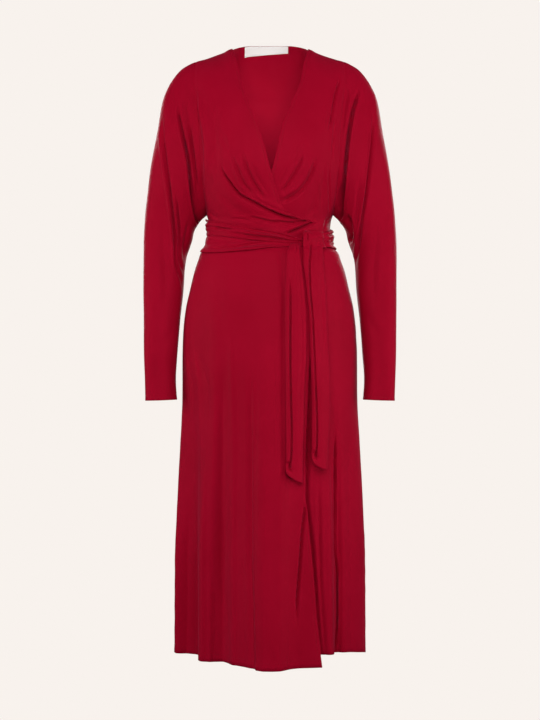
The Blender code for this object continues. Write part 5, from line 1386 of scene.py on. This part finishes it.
def build_knot(name, mat, rows=44, cols=48):
    """The knot under the outer tail: a tight bundle, pinched at its top and bottom."""
    s = np.linspace(0, 1, rows + 1)[:, None]
    t = np.linspace(0, 1, cols + 1)[None, :]
    a = KNOT_ANGLES[0] + (KNOT_ANGLES[1] - KNOT_ANGLES[0]) * t
    z = KNOT_Z[1] + (KNOT_Z[0] - KNOT_Z[1]) * s + 3.0 * (t - 0.5) * (1 - 2 * s)
    swell = np.sin(math.pi * (0.06 + 0.88 * s)) ** 0.6 * np.sin(math.pi * (0.05 + 0.9 * t)) ** 0.55
    tubes = 1.5 * np.exp(-(((s - 0.36 - 0.16 * t) / 0.06) ** 2)) + 1.3 * np.exp(-(((s - 0.7 + 0.12 * t) / 0.055) ** 2))
    tubes = tubes + 1.2 * np.exp(-(((t - 0.24 - 0.1 * s) / 0.06) ** 2))
    out = LAYER + SASH_CLEAR + 1.6 + (KNOT_DEPTH - 3.5) * swell - tubes
    p = waist_ring(a + 0 * s, z, out)
    n = facing(normals(p), p, p * np.array((0.0, 0.0, 1.0)))
    inner = waist_ring(a + 0 * s, z, LAYER + SASH_CLEAR + 0.6 + 0 * out)
    count = p.shape[0] * p.shape[1]
    ids = np.arange(count).reshape(p.shape[:2])
    quads = [net_quads(*p.shape[:2], False), net_quads(*p.shape[:2], False, count, True)]
    for line, flip in ((ids[0], True), (ids[-1], False), (ids[:, 0], False), (ids[:, -1], True)):
        q = np.stack([line[:-1], line[1:], line[1:] + count, line[:-1] + count], -1)
        quads.append(q[:, ::-1] if not flip else q)
    verts = np.concatenate([p.reshape(-1, 3), inner.reshape(-1, 3)])
    quads = np.concatenate(quads)
    q = quads[: len(net_quads(*p.shape[:2], False))]
    f = np.cross(verts[q[:, 1]] - verts[q[:, 0]], verts[q[:, 3]] - verts[q[:, 0]])
    if (f * n.reshape(-1, 3)[q[:, 0]]).sum() < 0:
        quads = quads[:, ::-1]
    uv = np.stack([run(p, 1), run(p, 0)], -1).reshape(-1, 2)
    return mesh_from(name, verts, quads, np.concatenate([uv, uv]) * MM, [mat])


def build_label(name, mat, rows=14, cols=44):
    """A blank woven label sewn inside the back neck, its ends folded under."""
    fine = back_net(30, 120)
    drop = np.linspace(0, 1, rows + 1)[:, None] * (1 - 0.19 * np.linspace(0, 1, cols + 1)[None, :])
    v = (LABEL_TOP_ROW + (LABEL_FOOT_ROW - LABEL_TOP_ROW) * drop) / BODICE_ROWS
    x = np.linspace(LABEL_SIDES_X[0], LABEL_SIDES_X[1], cols + 1)
    u = (x + SHOULDER_TIP_X) / (2 * SHOULDER_TIP_X)
    n = facing(normals(fine), fine, CENTRE)

    def at(grid):
        i, j = np.clip(v * 30, 0, 29.999), np.clip(u * 120, 0, 119.999)
        a, b = i.astype(int), j.astype(int)[None, :]
        s, t = (i - a)[..., None], (j - j.astype(int))[None, :, None]
        return (
            grid[a, b] * (1 - s) * (1 - t) + grid[a + 1, b] * s * (1 - t)
            + grid[a, b + 1] * (1 - s) * t + grid[a + 1, b + 1] * s * t
        )

    way = unit(at(n))
    U, V = np.linspace(0, 1, cols + 1)[None, :], np.linspace(0, 1, rows + 1)[:, None]
    rise = 1.9 + 0.5 * np.sin(math.pi * V) * np.sin(math.pi * U * 3 + 0.4) + 0.5 * V * np.sin(math.pi * U)
    rise = rise + 0.25 * (np.exp(-((U / 0.03) ** 2)) + np.exp(-(((1 - U) / 0.03) ** 2)))
    p = at(fine) - way * rise[..., None]
    obj = shell(name, p, -way, mat, wall=0.5)
    for edge in ("left", "right"):
        stitch_line(*at_inset(p, -way, edge, 1.6, 0.03, 0.97), colour="white", length=1.6, gap=0.6, radius=0.16)
    stitch_line(*at_inset(p, -way, "top", 1.4, 0.01, 0.99), colour="white", length=1.8, gap=0.7, radius=0.16)
    return obj


# ---------------------------------------------------------------- the dress
SPECULAR = 0.05
SHEEN = 0.20
DEEP = (0.300, 0.0012, 0.0145)
LIGHT = (0.345, 0.0019, 0.0185)
cloth_mat = jersey("crimson_jersey", DEEP, LIGHT)
thread_mat = thread("crimson_thread", (0.26, 0.002, 0.013))
label_mat = woven_label("white_label")
white_thread_mat = thread("white_thread", (0.80, 0.80, 0.78))

made = {}
made["bodice_front_right"], *_ = build_front("bodice_front_right_cloth", TOP_EDGE, -1.0, True, "front_top", cloth_mat, 168, 120)
made["bodice_front_left"], *_ = build_front("bodice_front_left_cloth", UNDER_EDGE, 1.0, False, "front_under", cloth_mat, 160, 112)
made["bodice_back"], *_ = build_back("bodice_back_cloth", cloth_mat, 110, 130)
made["sleeve_right"], *_ = build_sleeve("sleeve_right_cloth", -1.0, cloth_mat)
made["sleeve_left"], *_ = build_sleeve("sleeve_left_cloth", 1.0, cloth_mat)
made["skirt_front_right"], *_ = build_skirt("skirt_front_right_cloth", "top", cloth_mat, 130, 190, [("left", -1.0)])
made["skirt_front_left"], *_ = build_skirt("skirt_front_left_cloth", "under", cloth_mat, 130, 124, [("right", 1.0)])
made["skirt_back"], *_ = build_skirt("skirt_back_cloth", "back", cloth_mat, 112, 150, [("left", 1.0), ("right", -1.0)])
made["sash_wrap_upper"], *_ = build_wrap("sash_wrap_upper_cloth", "upper", cloth_mat)
made["sash_wrap_lower"], *_ = build_wrap("sash_wrap_lower_cloth", "lower", cloth_mat, rows=18)
made["sash_knot"] = build_knot("sash_knot_cloth", cloth_mat)
made["sash_tail_inner"], *_ = build_tail("sash_tail_inner_cloth", TAIL_INNER, "inner", cloth_mat, 170)
made["sash_tail_outer"], *_ = build_tail("sash_tail_outer_cloth", TAIL_OUTER, "outer", cloth_mat, 190)
made["neck_label"] = build_label("neck_label_blank", label_mat)
red = build_stitches("stitches_crimson", "red", thread_mat)
white = build_stitches("stitches_white", "white", white_thread_mat)

for part, obj in made.items():
    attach(obj, "root")
    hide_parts(part)
for obj, slot in ((red, "crimson_jersey"), (white, "white_label")):
    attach(obj, "root")

# the cut of each piece before it was sewn, in metres: width, length and area
SHEET_COLUMNS = ("piece", "width", "length", "area", "held")


# ---------------------------------------------------------------- floor, light and camera
def backdrop():
    """A pale floor that curves up into a plain wall all round."""
    profile = [(0.0, -1.5), (2.0, -1.5), (4.0, -1.5), (5.0, -1.42), (5.9, -1.1), (6.6, -0.4), (7.0, 0.8), (7.1, 2.6), (6.6, 4.6), (5.0, 6.2), (2.6, 7.1), (0.0, 7.4)]
    line = by_length(profile)
    s = np.linspace(0, 1, 60)
    r, z = line("across", s), line("z", s)
    turn = 2 * math.pi * np.arange(72) / 72
    verts = np.stack([np.outer(r, np.cos(turn)), np.outer(r, np.sin(turn)), np.outer(z, np.ones(72))], -1).reshape(-1, 3)
    obj = mesh_from("backdrop", verts / MM, net_quads(60, 72, True), None)
    mat = bpy.data.materials.new("pale_backdrop")
    mat.use_nodes = True
    tree = mat.node_tree
    tree.nodes.clear()
    glow = tree.nodes.new("ShaderNodeEmission")
    glow.inputs["Color"].default_value = (0.939, 0.888, 0.847, 1.0)
    end = tree.nodes.new("ShaderNodeOutputMaterial")
    tree.links.new(glow.outputs[0], end.inputs["Surface"])
    obj.data.materials.append(mat)
    obj.visible_diffuse = obj.visible_glossy = obj.visible_shadow = obj.visible_transmission = False
    return obj


def area_light(name, at, aim, size, energy, colour=(1, 1, 1)):
    data = bpy.data.lights.new(name, "AREA")
    data.shape, data.size, data.size_y = "RECTANGLE", *size
    data.energy, data.color = energy, colour
    obj = bpy.data.objects.new(name, data)
    bpy.context.scene.collection.objects.link(obj)
    obj.location = at
    obj.rotation_euler = (Vector(aim) - Vector(at)).to_track_quat("-Z", "Y").to_euler()
    obj.visible_camera = False
    return obj


def surroundings(low, level, high):
    """Even studio light from all round, brighter from above."""
    world = bpy.data.worlds.new("studio")
    bpy.context.scene.world = world
    world.use_nodes = True
    tree = world.node_tree
    tree.nodes.clear()
    place = node(tree, "ShaderNodeTexCoord", (-800, 0))
    split = node(tree, "ShaderNodeSeparateXYZ", (-600, 0))
    tree.links.new(place.outputs["Generated"], split.inputs[0])
    shift = node(tree, "ShaderNodeMapRange", (-420, 0))
    shift.inputs["From Min"].default_value, shift.inputs["From Max"].default_value = -1.0, 1.0
    tree.links.new(split.outputs["Z"], shift.inputs["Value"])
    ramp = node(tree, "ShaderNodeValToRGB", (-240, 0))
    ramp.color_ramp.interpolation = "EASE"
    ramp.color_ramp.elements[0].color = (low, low, low, 1)
    ramp.color_ramp.elements[1].color = (high, high, high, 1)
    middle = ramp.color_ramp.elements.new(0.5)
    middle.color = (level, level, level, 1)
    tree.links.new(shift.outputs["Result"], ramp.inputs["Fac"])
    sky = node(tree, "ShaderNodeBackground", (0, 0))
    tree.links.new(ramp.outputs["Color"], sky.inputs["Color"])
    end = node(tree, "ShaderNodeOutputWorld", (200, 0))
    tree.links.new(sky.outputs[0], end.inputs["Surface"])


backdrop()
surroundings(0.01, 0.03, 0.03)
area_light("key", (0.0, -2.3, 0.10), (0.0, 0.0, -0.35), (1.5, 1.1), 27.5)
area_light("high", (0.0, -1.9, 0.80), (0.0, 0.0, -0.30), (1.5, 1.1), 13.5)
area_light("side_right", (-1.6, -0.5, -0.45), (-0.1, 0.0, -0.5), (0.8, 1.2), 13.5)
area_light("side_left", (1.6, -0.6, -0.40), (0.1, 0.0, -0.45), (0.8, 1.2), 12.5)
area_light("low_left", (0.55, -0.60, -0.95), (0.17, 0.0, -0.45), (0.35, 0.35), 0.9)
area_light("behind_left", (1.3, 2.0, 0.20), (0.0, 0.0, -0.5), (1.2, 1.2), 24)
area_light("behind_right", (-1.3, 2.0, 0.20), (0.0, 0.0, -0.5), (1.2, 1.2), 24)
area_light("behind_low", (0.0, 2.3, -0.85), (0.0, 0.0, -0.80), (1.2, 1.0), 14)
area_light("neck", (-0.045, -0.030, -0.108), (0.0, 0.09, -0.07), (0.07, 0.07), 0.085)

scene = bpy.context.scene
scene.view_settings.view_transform = "Standard"
scene.view_settings.look = "None"
cam = bpy.data.cameras.new("camera")
cam.lens, cam.sensor_width, cam.sensor_fit = 67.5, 36.0, "AUTO"
cam.clip_end = 60.0
camera = bpy.data.objects.new("camera", cam)
scene.collection.objects.link(camera)
camera.location = (0.0, -2.7, -0.62)
camera.rotation_euler = (math.radians(90), 0, 0)
scene.camera = camera
